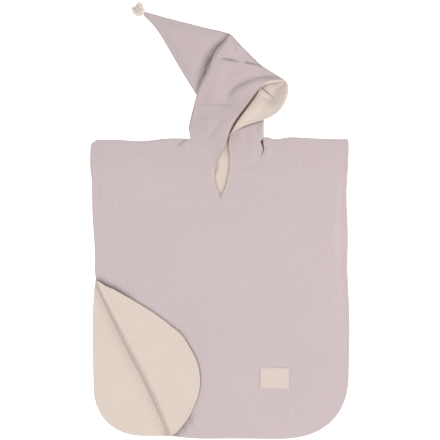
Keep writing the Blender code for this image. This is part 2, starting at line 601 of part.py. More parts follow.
def add_tuft():
    """A yarn tuft at the tip: a small head with a tapered lock grown from each of its faces."""
    rng = random.Random(7)
    tuft = bmesh.new()
    bmesh.ops.create_icosphere(tuft, subdivisions=2, radius=1.0)
    for vert in tuft.verts:
        vert.co = [c * size for c, size in zip(vert.co, TUFT_HEAD)]
    faces = list(tuft.faces)
    for face in faces:
        out = np.array(face.calc_center_median())
        out /= np.linalg.norm(out)
        facing = float(out @ np.array(TO_CLOTH))
        length = rng.uniform(*LOCKS) if facing < 0.1 else rng.uniform(*LOCKS_BY_CLOTH)
        if facing > 0.6:
            length = LOCK_STUB
        else:
            length += LOCKS_DROOP[0] * max(0.0, out[1]) ** 2 + LOCKS_DROOP[1] * max(0.0, -out[0]) ** 2
        sway = np.array([rng.uniform(-0.30, 0.30) for _ in range(3)])
        ring = [face]
        for share, size in ((0.5, 0.62), (1.0, 0.30)):
            grown = bmesh.ops.extrude_discrete_faces(tuft, faces=ring)
            ring = grown["faces"]
            tip = ring[0]
            middle = np.array(tip.calc_center_median())
            lean = (out + sway * share) * length * 0.5
            lean[2] *= 0.55
            for vert in tip.verts:
                spot = middle + (np.array(vert.co) - middle) * size + lean
                vert.co = spot
    points = np.array([v.co for v in tuft.verts]) + TUFT_CENTRE
    points[:, 2] = np.maximum(points[:, 2], GAP + 0.1 + 0.02 * (points[:, 2] + 20))
    for vert, point in zip(tuft.verts, points * MM):
        vert.co = point
    bmesh.ops.recalc_face_normals(tuft, faces=tuft.faces)
    mesh = bpy.data.meshes.new("tuft")
    tuft.to_mesh(mesh)
    tuft.free()
    add_object("tuft", mesh, TUFT_CREAM, 0.95)


def main():
    for item in list(bpy.data.objects):
        bpy.data.objects.remove(item, do_unlink=True)
    for name, panel, outer_up in (("back", back_sheets(), False), ("front", front_sheets(), True),
                                  ("hood_left", hood_lower_sheets(), False),
                                  ("hood_neck", hood_neck_sheets(), True)):
        shell(name + "_shell", *panel, outer_up)
        lining(name + "_lining", *panel, outer_up)
    shell("hood_right_shell", *hood_upper_sheets(False), True)
    lining("hood_right_lining", *hood_upper_sheets(True), True)
    add_label()
    add_tuft()


main()
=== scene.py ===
"""Finish of a child's hooded bath poncho, laid out flat on its back.

Two plies everywhere: a crinkled muslin shell outside and a terry lining inside. Every panel is
one middle surface, worked out on grids in millimetres. The muslin is the wall on its outer
side, the terry the wall on its inner side, and each replaces the plain solid of the same place.

Axes: +Z up, +Y towards the hood's tip, +X to the right. The underside rests on z = 0.
"""
import math

import bmesh
import bpy
import numpy as np
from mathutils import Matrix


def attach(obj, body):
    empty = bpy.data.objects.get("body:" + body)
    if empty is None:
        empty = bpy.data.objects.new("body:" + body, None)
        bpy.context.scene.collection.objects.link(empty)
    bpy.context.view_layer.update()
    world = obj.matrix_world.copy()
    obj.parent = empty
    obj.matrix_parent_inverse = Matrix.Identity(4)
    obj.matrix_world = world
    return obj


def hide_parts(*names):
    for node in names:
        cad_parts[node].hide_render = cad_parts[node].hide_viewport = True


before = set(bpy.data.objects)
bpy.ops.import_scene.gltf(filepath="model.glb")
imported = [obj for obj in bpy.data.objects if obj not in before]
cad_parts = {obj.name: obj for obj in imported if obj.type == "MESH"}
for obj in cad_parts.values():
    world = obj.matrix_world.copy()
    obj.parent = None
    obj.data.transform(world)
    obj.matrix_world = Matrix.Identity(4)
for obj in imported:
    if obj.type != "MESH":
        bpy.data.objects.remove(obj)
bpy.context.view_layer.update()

# ---- sizes, mm -------------------------------------------------------------------------
MM = 0.001
PLY = 1.2                  # thickness of one ply
GAP = 0.3                  # clearance between plies, and at seams
HALF = PLY + GAP / 2       # from a panel's middle surface to its outer face
STEP = 2 * HALF + GAP      # from one panel's middle surface to that of the panel on it
BEND = STEP / 2            # radius of a panel's middle surface where it turns over a seam
ROUND = BEND + HALF        # from the start of such a turn to its outermost point
NOSE = 2.4                 # width over which a free edge rounds off
FAR = 1e3                  # stands for the distance from a free edge where there is none
WELD = (0.017, 0.37)       # cell within which points are one, and how far the cells are shifted
HEM_BAND = (9.0, 4.0)      # where the seam allowance inside an edge ends, and how softly
HEM_BULK = 0.35            # how much thicker one ply is over the seam allowance
RUN_ON = 0.7               # how far a lining goes on past the start of its shell's turn
SEAM_ROOM = 0.1            # what is left open between the hood and the front it is sewn to

BACK_LEVEL = HALF
FRONT_LEVEL = BACK_LEVEL + STEP
SEAM_LEVEL = BACK_LEVEL + BEND
FLAP_BEND = 1.85           # radius of the front's middle surface at its folded corner
FLAP_LEVEL = FRONT_LEVEL + 2 * FLAP_BEND
FLAP_LEAST = 1.5           # least width of the folded corner past its bend
ROLL, EDGE_ROLL = 0.8, 0.45   # radius of the lining's roll over the shell, and at a plain edge
LEAST_ROLL = 0.3           # reach of the lining over the shell at a plain edge
ROLL_SINK = 0.5            # how far the rolled lining sinks towards its end
ROLL_SWELLS = (0.74, 0.08)   # share along the near rim where the roll's radius grows, and over what share
TUCK_LIFT = 4.0            # how much higher the hood's upper side stands in the middle of the tuck

FOLD_SLOPE = (1.5, 3.0, 1.0)  # reach of the fold's slope at its top and along it, and its turn's radius
FOLD_CREST = (13.0, 2.0)   # width over which the folded corner comes down from its fold, and by how much
FOLD_DARK = 0.27           # strength of the band of painted shade along the fold
FLAP_CURL = (14.0, 0.9)    # width over which the folded corner's edge turns up, and how far
FLAP_LIFT = (0.8, 18.0)    # how far the folded corner stands off its fold's level, and from where
FLAP_EASE = 16.0           # how far from its free edge that, with its creases, is reached
FLAP_CURLED = 30.0         # width of the folded corner at which its edge turns up in full
FLAP_CRESTED = (4.0, 26.0)   # width of the folded corner at which its fold starts to stand up, and how softly
FRONT_PUFF = (1.3, 34.0, 14.0)   # the front's soft rise, and how far from hem and neckline it is reached
# Distance from the fold's line at which that rise and the front's creases start, and over what width
PUFF_CLEAR, CREASE_CLEAR = (120.0, 60.0), (110.0, 50.0)
HEM_FLAT, NECK_FLAT = 8.0, 4.0   # how far from the hem the creases, and from the neckline both, come in
SHOULDER_PUFF = (1.6, 10.0, 60.0)   # rise beside the neck's right seam, its width, and x where it starts
SHOULDER_PUFF_Y = (140.0, 152.0, 178.0, 188.0)   # y from where it comes, is full, goes and is gone
NECK_PUFF = (0.8, 18.0)    # rise of the hood where it wraps the neck, and how far from its seam it is reached
HOOD_PUFF = 10.5           # how far the hood's upper side stands off its lower side
CREASE_ROOM = 6.0          # height of that at which its creases are full
PUFF_EASE = (48.0, 40.0)   # how far from the side and the crown that puff is reached
PUFF_RISE = (140.0, 110.0)  # y where it starts above the neckline, and over what height it comes
TUCK_HOLD = 8.0            # how far past the tucked layers the hood's upper side keeps its height
TUCK_EASE = 60.0           # how far from the tuck it has come down again
TUCK_OVERLAP = (26.0, 6.0)  # the hood's tuck, at its left and right end
TIP_PUFF = 5.5             # how far the tip's upper side stands off its lower side
TIP_EASE = (26.0, 30.0)    # how far from the tip's edges and from the tuck's flat strip it is reached
TIP_FLAT = 8.0             # width of that strip
PLEAT_EASE = 10.0          # how far from the tip's edges the pleats beside the tuck are full
TIP_STARTS = ((-1.5, 3.0), (-3.0, 0.5))   # where the tip's edges start, past the tuck's corners
LABEL_SIZE = (68.0, 50.0)
LABEL_CENTRE = (126.9, -366.8)
LABEL_TURN = math.radians(-1.5)
LABEL_CLEAR = (0.62 * LABEL_SIZE[0], 30.0)   # the same, for both, from the label's centre
LABEL_THICKNESS = 1.0
LABEL_CORNER = 1.5         # radius
# Rings of the label from its edge inwards: (inset, part of its thickness); the dip is the line of its
# stitches
LABEL_RINGS = ((0.0, 0.0), (0.0, 0.45), (0.35, 0.8), (0.9, 0.95), (1.6, 0.86), (2.3, 0.74), (3.0, 0.86),
               (4.2, 1.0), (10.0, 1.0), (20.0, 1.0))
STITCH_PITCH, STITCH_LENGTH, STITCH_RADIUS = 3.0, 2.0, 0.32
STITCH_INSET = 2.3         # from the label's edge
STITCH_LEVEL = (0.86, 0.25)   # height of a stitch's ends over the label's foot, and of its middle over them
TUFT_CENTRE = (-183.8, 484.7, 9.6)
TUFT_HEIGHT = 8.6          # half height of the tuft
STRANDS, STRAND_RADIUS, STRAND_BEND = 1300, 0.75, 1.3
# (direction in degrees from +X, reach of the tuft's strands that way)
TUFT_REACH = ((0, 9.5), (20, 11.5), (60, 12.8), (78, 16.5), (97, 26.5), (108, 21.5), (120, 19.0),
              (139, 18.5), (165, 25.0), (187, 20.5), (208, 18.5), (252, 14.6), (298, 12.6), (340, 10.0),
              (360, 9.5))

# ---- outlines, mm: each is a smooth curve through (x, y) -------------------------------
NECK_LEFT = ((-67.5, 185.9), (-67.0, 169.6), (-60.8, 151.0), (-46.4, 137.1), (-30.2, 131.5),
             (-10.4, 130.2))
NECK_RIGHT = ((24.6, 127.8), (41.8, 124.8), (62.6, 125.5), (81.2, 131.3), (94.0, 144.1), (98.7, 165.0),
              (99.6, 188.7))
SLIT_LEFT = (NECK_LEFT[-1], (-13.2, 110.4), (-12.5, 93.0), (-7.8, 75.6), (-4.2, 64.6), (0.5, 55.9))
SLIT_RIGHT = (SLIT_LEFT[-1], (5.6, 59.4), (9.8, 65.6), (16.9, 86.1), (22.3, 111.6), NECK_RIGHT[0])
SHOULDER_LEFT = (NECK_LEFT[0], (-127.6, 186.4), (-178.6, 180.9), (-232.0, 183.6), (-289.0, 183.2))
SHOULDER_RIGHT = (NECK_RIGHT[-1], (111.4, 189.9), (123.0, 185.6), (146.2, 187.6), (197.2, 188.4),
                  (298.0, 185.2))
FRONT_LEFT = (SHOULDER_LEFT[-1], (-297.4, 180.0), (-300.3, 171.5), (-299.3, 120.9), (-296.2, 11.8),
              (-290.4, -101.8), (-290.0, -126.0))
FOLD_TOP = (-290.3, -139.8)
FOLD_FOOT = (-122.0, -503.0)
HEM = ((-83.5, -505.5), (0.0, -507.8), (125.3, -508.6))
CORNER_CENTRE = (125.3, -346.6)
CORNER_REACH = (174.0, 162.0)
CORNER_POWER = 2.5
FRONT_RIGHT = ((299.3, -346.6), (300.4, -208.6), (296.2, -97.2), (297.4, -46.2), (294.4, 69.8),
               (295.8, 98.0), (297.6, 122.0), (298.8, 151.0), (299.4, 172.0), (299.2, 180.0),
               SHOULDER_RIGHT[-1])
# (y, x), down the back's left side
BACK_LEFT = ((183.0, -288.0), (180.0, -295.0), (171.9, -298.6), (69.8, -295.3), (-46.2, -291.0),
             (-110.0, -288.4), (-138.0, -288.6), (-150.0, -291.0), (-170.0, -293.4), (-190.0, -294.6),
             (-255.0, -296.0), (-324.6, -295.4), (-382.6, -294.2))
BACK_CORNER = (-382.6, 120.9, 119.2, 2.25)   # y where the corner starts, its reach x, y and its power
BACK_RIDGE = (2.4, 9.0)    # height and width of the back's soft ridge just outside the fold
BACK_RIDGE_Y = (-150.0, -490.0, 20.0)   # y where that ridge comes and goes, and how softly
BACK_INSET = 1.5           # how far the back's right edge lies inside the front's
BACK_NECK = ((16.0, 188.9), (99.6, 191.3))   # the back's edge at the neck, where the hood is sewn on

# (distance along the fold from its top, reach of the folded corner from the fold line)
FLAP_REACH = ((0, 2.6), (1, 3.3), (7.2, 9.2), (20.7, 17.4), (35.6, 30.9), (47.6, 39.8), (71.8, 57.6),
              (97.2, 74.9), (123.3, 91.8), (151.6, 107.7), (175.5, 119.9), (201.1, 131.2), (230.5, 135),
              (254.1, 137.2), (279.9, 135.3), (303.1, 129), (322.3, 120.3), (342.1, 106.5), (357.9, 90.5),
              (375, 71), (386.7, 52.5), (396.1, 32.1), (403, 18.8))

HOOD_LEFT_EDGE = ((-68.8, 189.8), (-70.6, 199.0), (-72.8, 211.1), (-71.9, 220.5), (-63.6, 255.4),
                  (-59.6, 270.5), (-54.5, 289.6))
TUCK = (HOOD_LEFT_EDGE[-1], (-48.7, 305.3), (-38.3, 326.0), (-27.5, 351.0), (-19.0, 371.5),
        (-8.5, 391.5), (6.8, 410.7), (22.4, 433.2))
CROWN = (TUCK[-1], (31.0, 425.0), (46.0, 409.0), (65.6, 389.8), (83.4, 372.2), (95.6, 360.8),
         (107.8, 352.4), (130.0, 338.4), (152.6, 323.6))
NEAR_RIM = ((-4.6, 145.2), (4.3, 162.0), (14.4, 181.2), (19.7, 198.6), (28.8, 220.0), (43.8, 243.1),
            (60.1, 264.0), (74.0, 283.0), (83.4, 296.0), (91.2, 306.0), (103.5, 315.0), (120.6, 319.8),
            (136.9, 321.4))
FAR_RIM = ((16.0, 189.3), (34.8, 205.8), (79.0, 225.6), (122.8, 241.4), (139.4, 254.6), (150.9, 272.8),
           (158.2, 294.9), (158.6, 308.6), (157.0, 316.6))
TIP_LOWER = (TUCK[0], (-88.2, 343.6), (-120.6, 399.3), (-157.8, 455.0), (-177.5, 474.6))
TIP_UPPER = (TUCK[-1], (-2.0, 440.0), (-25.5, 445.2), (-60.3, 453.9), (-97.4, 463.2), (-136.9, 473.8),
             (-177.5, 485.2))

# ---- creases, mm: (points of the crease, half width, rise of a ridge or fall of a trough) ----
HOOD_CREASES = (
    (((0.0, 374.0), (20.0, 371.4), (43.0, 367.4)), 3.2, -5.6),
    (((-4.0, 364.0), (22.0, 361.5), (46.0, 358.0)), 7.0, 1.2),
    (((54.0, 365.6), (70.0, 363.5), (86.0, 360.5), (97.0, 356.5)), 2.8, -7.5),
    (((52.0, 374.0), (72.0, 371.5), (90.0, 365.0)), 5.0, 1.0),
    (((33.6, 412.0), (34.0, 401.0), (35.6, 388.0)), 3.0, -2.0),
    (((70.0, 357.0), (82.0, 354.5), (95.0, 351.0)), 2.2, -0.9),
    (((76.0, 351.0), (88.0, 348.0), (104.0, 343.0)), 2.2, -0.8),
    (((139.0, 331.0), (120.0, 331.0), (97.4, 331.0), (66.0, 326.0), (41.8, 314.0), (25.0, 300.0),
      (17.0, 283.0)), 8.0, -6.4),
    (((128.0, 324.0), (100.0, 320.0), (72.0, 310.0), (52.0, 294.0), (40.0, 274.0)), 10.0, 2.0),
    (((-44.0, 271.5), (-20.0, 269.6), (3.0, 268.8), (28.0, 268.0)), 3.4, -2.2),
    (((-46.0, 262.0), (-12.0, 261.0), (20.0, 259.0)), 6.0, 0.8),
    (((20.8, 243.0), (6.0, 231.0), (-7.6, 216.4), (-34.2, 184.4)), 8.0, -2.2),
    (((6.0, 250.0), (-16.0, 236.0), (-34.0, 214.0)), 11.0, 1.0),
    (((-62.0, 222.0), (-50.0, 214.0), (-34.0, 200.0)), 6.0, -0.8),
)
TIP_CREASES = (
    (((-40.0, 376.0), (-70.0, 402.0), (-105.0, 432.0)), 14.0, -1.2),
    (((-62.0, 350.0), (-92.0, 392.0), (-128.0, 440.0)), 9.0, 1.0),
    (((-20.0, 430.0), (-60.0, 441.0), (-100.0, 451.0)), 8.0, 0.8),
)
FAR_CREASES = (
    (((124.0, 262.0), (112.0, 282.0), (104.0, 300.0)), 9.0, -1.0),
    (((60.0, 226.0), (84.0, 240.0), (112.0, 256.0)), 9.0, 0.8),
)
NECK_CREASES = (
    (((46.0, 228.0), (47.0, 190.0), (45.0, 140.0)), 10.0, 0.9),
    (((60.0, 226.0), (61.0, 190.0), (58.0, 142.0)), 6.0, -0.5),
    (((74.0, 232.0), (75.0, 190.0), (72.0, 140.0)), 9.0, 0.8),
    (((88.0, 236.0), (88.0, 200.0), (84.0, 150.0)), 5.0, -0.5),
    (((94.0, 222.0), (94.0, 190.0), (94.0, 164.0)), 5.0, 2.2),
)
BODY_CREASES = (
    (((281.0, 60.0), (279.0, 0.0), (281.0, -120.0), (284.0, -220.0)), 6.0, -0.9),
    (((268.0, 80.0), (266.0, -20.0), (270.0, -150.0)), 9.0, 0.5),
    (((-285.0, 150.0), (-283.0, 60.0), (-278.0, -60.0), (-276.0, -110.0)), 6.0, -0.6),
    (((104.0, 174.0), (126.0, 166.0), (150.0, 162.0)), 4.0, -1.2),
    (((106.0, 158.0), (128.0, 154.0), (150.0, 154.0)), 5.0, 0.8),
    (((106.0, 176.0), (110.0, 160.0), (107.0, 144.0)), 5.0, 2.2),
    (((104.0, 140.0), (126.0, 130.0), (146.0, 128.0)), 6.0, -0.9),
    (((-92.0, 178.0), (-84.0, 168.0), (-76.0, 158.0)), 3.6, -1.0),
    (((-100.0, 172.0), (-92.0, 162.0), (-86.0, 154.0)), 4.0, 0.7),
    (((-18.0, 124.0), (-20.0, 112.0), (-19.0, 98.0)), 6.0, 1.2),
    (((-240.0, 120.0), (-120.0, 90.0), (0.0, 20.0), (90.0, -110.0)), 46.0, 0.7),
    (((-220.0, -40.0), (-110.0, -90.0), (10.0, -190.0)), 40.0, -0.8),
    (((60.0, 40.0), (130.0, -60.0), (180.0, -220.0), (190.0, -380.0)), 42.0, 0.8),
    (((220.0, 140.0), (200.0, 20.0), (230.0, -160.0)), 34.0, -0.7),
    (((40.0, -260.0), (30.0, -360.0), (60.0, -470.0)), 38.0, -0.7),
)
FLAP_CREASES = (
    (((-200.0, -210.0), (-150.0, -290.0), (-96.0, -390.0), (-66.0, -470.0)), 20.0, -0.8),
    (((-240.0, -190.0), (-170.0, -250.0), (-90.0, -300.0)), 26.0, 0.6),
)
# The fold's bow: (distance along the fold, distance of its edge from the straight line, half width of
# the band of painted shade beside it)
FOLD_BOW = ((0, 0, 1.2), (84, -0.6, 3.2), (128, 0, 4.2), (188, 1.6, 4.8), (248, 5.2, 5.2), (307, 6.3, 5.2),
            (349, 5, 5), (401, 3, 4.6))
PLEATS = (5.8, 20.0, 5.0)  # pitch, reach and height of the small pleats beside the tuck, on the tip
GATHERED = (0.0, 0.21, 15.0)   # the part of the folded corner's edge with gathered cloth above it, and the reach of the painted shade there
SLIT_SHADE = (144.0, 101.0, 0.36)   # y of the top and the foot of the slit's shaded left side, and its depth
SLIT_FOOT = (0.4, 54.6)    # where the slit's lower end is sewn fast, with a spot of painted shade
SHOULDER_PLEATS = ((-96.0, 173.0), (-86.0, 181.0), (-78.0, 186.0))   # small pleats left of the neck, drawn only as painted shade
# Painted shade in creases of the hood: (points of the crease, half width, strength)
CREASE_SHADES = ((((58.0, 367.0), (74.0, 363.5), (88.0, 358.5), (98.0, 354.0)), 2.6, 0.8),
           (((0.0, 373.6), (20.0, 371.4), (43.0, 367.4)), 3.0, 0.35),
           (((136.0, 330.5), (118.0, 332.5), (97.0, 331.5), (78.0, 328.0)), 3.4, 0.6),
           (((76.0, 328.0), (52.0, 318.0), (32.0, 304.0), (20.0, 284.0)), 8.0, 0.3),
           (((33.6, 410.0), (34.0, 401.0), (35.6, 388.0)), 2.6, 0.3))
# Open fold inside the hood's near rim: (part of the rim's length, width, fall of its bottom, rise beyond)
RIM_FOLD = ((0.0, 2.0, 0.0, 0.0), (0.19, 2.0, 0.0, 0.0), (0.23, 3.0, 1.6, 0.0), (0.3, 3.8, 2.2, 3.0),
            (0.4, 4.4, 2.8, 6.0), (0.5, 4.4, 3.0, 7.0), (0.62, 3.6, 3.0, 6.5), (0.70, 2.8, 2.4, 5.0),
            (0.75, 2.4, 1.0, 2.0), (0.80, 2.2, 0.0, 0.0), (1.0, 2.0, 0.0, 0.0))
RIM_WALL = 2.4             # width over which that fold comes up again, on the mouth's side
RIM_FALL, RIM_RISE = (-22.0, 10.0), (6.0, 30.0)   # where its fall starts and its rise ends, and how softly
# Seam of the crown, seen inside the hood's mouth: the side beyond it stands higher
CROWN_SEAM = ((97.0, 307.0), (111.0, 295.5), (124.0, 285.0), (137.0, 275.5))
CROWN_SEAM_STEP = 2.6      # how much higher the cloth lies beyond that seam
CROWN_SEAM_GROOVE = (1.8, 3.0)           # half width and depth
# Open place in the seam beside the neck: (y, width), drawn out of the front's edge and out of the hood's
SEAM_GAP = ((136.0, 0.0), (143.0, 0.4), (154.0, 2.4), (165.0, 4.2), (175.0, 2.6), (184.0, 1.4), (189.0, 0.6))
NECK_DENT = ((145.0, 0.0), (156.0, 0.6), (166.0, 1.2), (176.0, 5.6), (184.0, 8.0), (189.0, 2.0), (192.0, 0.0))
SEAM_GAP_X = 60.0          # the neckline right of this x is drawn out of shape so
# Line of that open place, along which the back's lining under it is painted dark, as shade
NECK_LENS = ((96.8, 188.0), (97.6, 176.0), (102.4, 165.0), (99.8, 154.0), (96.3, 142.0))
# Lift of the hood's lower side along its rim: (part of the rim's length, lift, full to, gone at)
RIM_LIFT = ((0.0, 9.0, 26.0, 70.0), (0.45, 9.0, 26.0, 70.0), (0.65, 11.0, 8.0, 45.0),
            (0.85, 12.0, 5.0, 34.0), (1.0, 6.0, 4.0, 30.0))
# x and width over which the hood's lower and its upper side rise beside the slit
LOWER_SLIT_EASE, UPPER_SLIT_EASE = (-2.0, 20.0), (-44.0, 64.0)
NECK_BACK_END = (9.0, 189.6, 207.0)   # x, and both y, where the wrapped neck ends under the hood
NECK_FOLD = (102.1, 192.1, 248.0)     # x, and both y, of the fold at which it wraps round
NECK_LEFT_EDGE = ((24.4, 146.0), (21.6, 178.0), (24.6, 200.0), (28.0, 214.0))
# (part of the rim's length, reach of the rolled lining over the shell)
RIM_ROLL = ((0.0, LEAST_ROLL), (0.76, LEAST_ROLL), (0.80, 1.6), (0.84, 3.4), (0.88, 4.6), (0.95, 5.0),
            (1.0, 1.0))

# ---- fineness of the grids -------------------------------------------------------------
EDGE_SHARES = (0.0007, 0.002, 0.004, 0.007, 0.012)   # dense rows beside a free edge
SEAM_ANGLES = (15, 30, 45, 60, 75, 90)               # degrees round a panel's turn down to its seam
FOLD_ANGLES = (-90, -60, -30, 0, 30, 62)             # degrees round the tight turn of the front's fold
FOLD_PARTS = (0.87, 0.74, 0.6, 0.45, 0.3, 0.15, 0.0)   # of the slope from that turn to the fold's top
ROLL_PARTS = (0.0, 0.25, 0.5, 0.75, 0.9, 0.96, 1.0)  # of a rolled edge's reach over the shell
ROLL_STEPS, HIDDEN_STEPS, NECK_STEPS, TUCK_STEPS = 8, 8, 12, 14   # round turns through half a circle
FOLD_POINTS, SIDE_POINTS, HEM_POINTS, CORNER_POINTS = 131, 61, 19, 55   # round the front's outside
NECK_POINTS, SLIT_POINTS = (86, 88), (80, 68)   # along the left and the right of its inside
# Rows of the back: (from y, to y, how many)
BACK_ROWS = ((183.0, 50.0, 40), (50.0, -120.0, 12), (-120.0, CORNER_CENTRE[1], 60))
BACK_LOW_ROWS = (24, 28)   # further down, and in the zone over the hem where they grow denser
BACK_HEM_ZONE = 45.0
BACK_COLUMNS = (82, 18)    # left and right of the neck
NECK_COLUMNS = 56          # of the back's grid, across the neck
FRONT_ROWS, FLAP_ROWS = 64, 32   # from the front's inside to its outside, and across its folded corner
NECK_STRIPS, NECK_BACK_STRIPS = 40, 20   # of the wrapped neck's front and back


# ---- curves and surfaces ---------------------------------------------------------------
def smooth(t):
    """0 up to t = 0, 1 from t = 1, and 3t^2 - 2t^3 between."""
    t = np.clip(t, 0.0, 1.0)
    return t * t * (3 - 2 * t)


def rises(value, start, width):
    """0 up to a start, and 1 from a width further on."""
    return smooth((value - start) / width)


def fades(value, start, width):
    """1 up to a start, and 0 from a width further on."""
    return 1 - rises(value, start, width)


def shares_to(count, dense_start=False, dense_end=False):
    """Even steps from 0 to 1, with extra ones beside an end where an edge rounds off."""
    even = np.linspace(0, 1, count)
    extra = np.array(EDGE_SHARES)
    low, high = (extra[-1] * 1.4 if dense_start else 0.0), (extra[-1] * 1.4 if dense_end else 0.0)
    inner = low + even * (1 - low - high)
    parts = [inner]
    if dense_start:
        parts.insert(0, np.concatenate(([0.0], extra)))
    if dense_end:
        parts.append(np.concatenate((1 - extra[::-1], [1.0])))
    return np.concatenate(parts)


def curve(points, shares):
    """Natural cubic spline through the points, by chord length, read at parts of its length."""
    points = np.array(points, dtype=float)
    chord = np.concatenate(([0.0], np.cumsum(np.linalg.norm(np.diff(points, axis=0), axis=1))))
    size = len(points)
    step = np.diff(chord)
    system = np.eye(size)
    right = np.zeros((size, points.shape[1]))
    for i in range(1, size - 1):
        system[i, i - 1:i + 2] = step[i - 1], 2 * (step[i - 1] + step[i]), step[i]
        right[i] = 6 * ((points[i + 1] - points[i]) / step[i] - (points[i] - points[i - 1]) / step[i - 1])
    second = np.linalg.solve(system, right)
    fine = np.linspace(0, chord[-1], 60 * size)
    k = np.clip(np.searchsorted(chord, fine, side="right") - 1, 0, size - 2)
    h, a, b = step[k][:, None], (chord[k + 1] - fine)[:, None], (fine - chord[k])[:, None]
    line = (second[k] * a ** 3 + second[k + 1] * b ** 3) / (6 * h)
    line += (points[k] / h - second[k] * h / 6) * a + (points[k + 1] / h - second[k + 1] * h / 6) * b
    return resample(line, shares)


def resample(line, shares):
    """The line read at parts of its length; a whole number asks for that many even parts."""
    line = np.asarray(line, dtype=float)
    along = np.concatenate(([0.0], np.cumsum(np.linalg.norm(np.diff(line, axis=0), axis=1))))
    spots = np.linspace(0, 1, shares) if np.isscalar(shares) else np.asarray(shares)
    return np.stack([np.interp(spots * along[-1], along, column) for column in line.T], axis=1)


def read_table(table, at):
    """Each further column of a table, by straight lines between the rows, at values of the first."""
    columns = np.array(table, dtype=float).T
    return [np.interp(at, columns[0], column) for column in columns[1:]]


def join(*lines):
    """Lines end to end, each shared point kept once."""
    return np.concatenate([lines[0]] + [line[1:] for line in lines[1:]])


def left_of(line):
    """Unit normals to the left of a line's direction, in plan."""
    along = np.gradient(line[:, :2], axis=0)
    along /= np.maximum(np.linalg.norm(along, axis=1, keepdims=True), 1e-9)
    return np.stack((-along[:, 1], along[:, 0]), axis=1)


def corner_inset(corner, first, second, distance):
    """The point that lies a distance inside both of two edges that meet at a corner."""
    return np.array(corner) + np.linalg.solve(np.array((first, second)), (-distance, -distance))


def patch(bottom, top, left, right, u, v):
    """Coons patch: the two ruled surfaces between opposite edges, less the one through the corners."""
    u, v = u[:, None, None], v[None, :, None]
    across = (1 - v) * bottom[:, None] + v * top[:, None]
    up = (1 - u) * left[None] + u * right[None]
    corners = (1 - u) * (1 - v) * bottom[0] + u * (1 - v) * bottom[-1]
    corners = corners + (1 - u) * v * top[0] + u * v * top[-1]
    return across + up - corners


def raised(plan, height):
    """A plan grid lifted to a height, which is one number or one for each point."""
    return np.concatenate((plan[..., :2], np.broadcast_to(height, plan.shape[:-1])[..., None]), axis=-1)


def distance_to(plan, line):
    """Distance of each point of a plan grid from a line, where along the line that is, 0 to 1,
    and on which side it lies: 1 on the line's left and -1 on its right."""
    plan = plan[..., :2]
    best = np.full(plan.shape[:-1], 1e9)
    where = np.zeros(plan.shape[:-1])
    side = np.ones(plan.shape[:-1])
    for i, (a, b) in enumerate(zip(line[:-1], line[1:])):
        away, run = plan - a, b - a
        t = np.clip((away @ run) / (run @ run), 0, 1)
        gap = np.linalg.norm(away - t[..., None] * run, axis=-1)
        near = gap < best
        best = np.where(near, gap, best)
        where = np.where(near, (i + t) / (len(line) - 1), where)
        side = np.where(near, np.where(run[0] * away[..., 1] - run[1] * away[..., 0] < 0, -1.0, 1.0), side)
    return best, where, side


def creased(plan, creases):
    """Sum of soft ridges and troughs: each is a bell across its line, eased out at both ends."""
    total = np.zeros(plan.shape[:-1])
    for points, width, rise in creases:
        gap, where, _ = distance_to(plan, curve(points, 24))
        fade = np.sin(np.pi * np.clip(0.04 + 0.92 * where, 0, 1)) ** 0.6
        total += rise * fade * np.exp(-(gap / width) ** 2)
    return total


def rim_distance(grid, *edges):
    """Distance from the grid's free edges, measured along its lines; far where it has none."""
    found = np.full(grid.shape[:2], FAR)
    lines = {"first row": grid[:1], "last row": grid[-1:],
             "first column": grid[:, :1], "last column": grid[:, -1:]}
    for edge in edges:
        found = np.minimum(found, np.linalg.norm(grid - lines[edge], axis=-1))
    return found


def run_on(edge, outward):
    """A strip that carries a lining flat towards its seam, inside the shell's turn."""
    return np.stack((edge, raised(edge[:, :2] + outward * RUN_ON, edge[:, 2])))


def turn_down(edge, outward, seam):
    """A strip that rounds over from a panel's edge and drops straight to its seam."""
    rows = [edge]
    height = edge[:, 2]
    sign = np.sign(seam - height)
    depth = np.minimum(np.abs(seam - height) - 1.5 * GAP, BEND)
    for angle in np.radians(SEAM_ANGLES):
        plan = edge[:, :2] + outward * BEND * math.sin(angle)
        rows.append(raised(plan, height + sign * depth * (1 - math.cos(angle))))
    rows.append(raised(edge[:, :2] + outward * BEND, seam - sign * GAP / 2))
    return np.stack(rows)


def turn_over(edge, outward, radius, levels, rise):
    """A strip that rounds right over from a panel's edge to the level above or below it."""
    rows = []
    for angle in np.linspace(0, math.pi, levels + 1):
        plan = edge[:, :2] + outward * np.reshape(radius * math.sin(angle), (-1, 1))
        rows.append(raised(plan, edge[:, 2] + rise * radius * (1 - math.cos(angle))))
    return np.stack(rows)


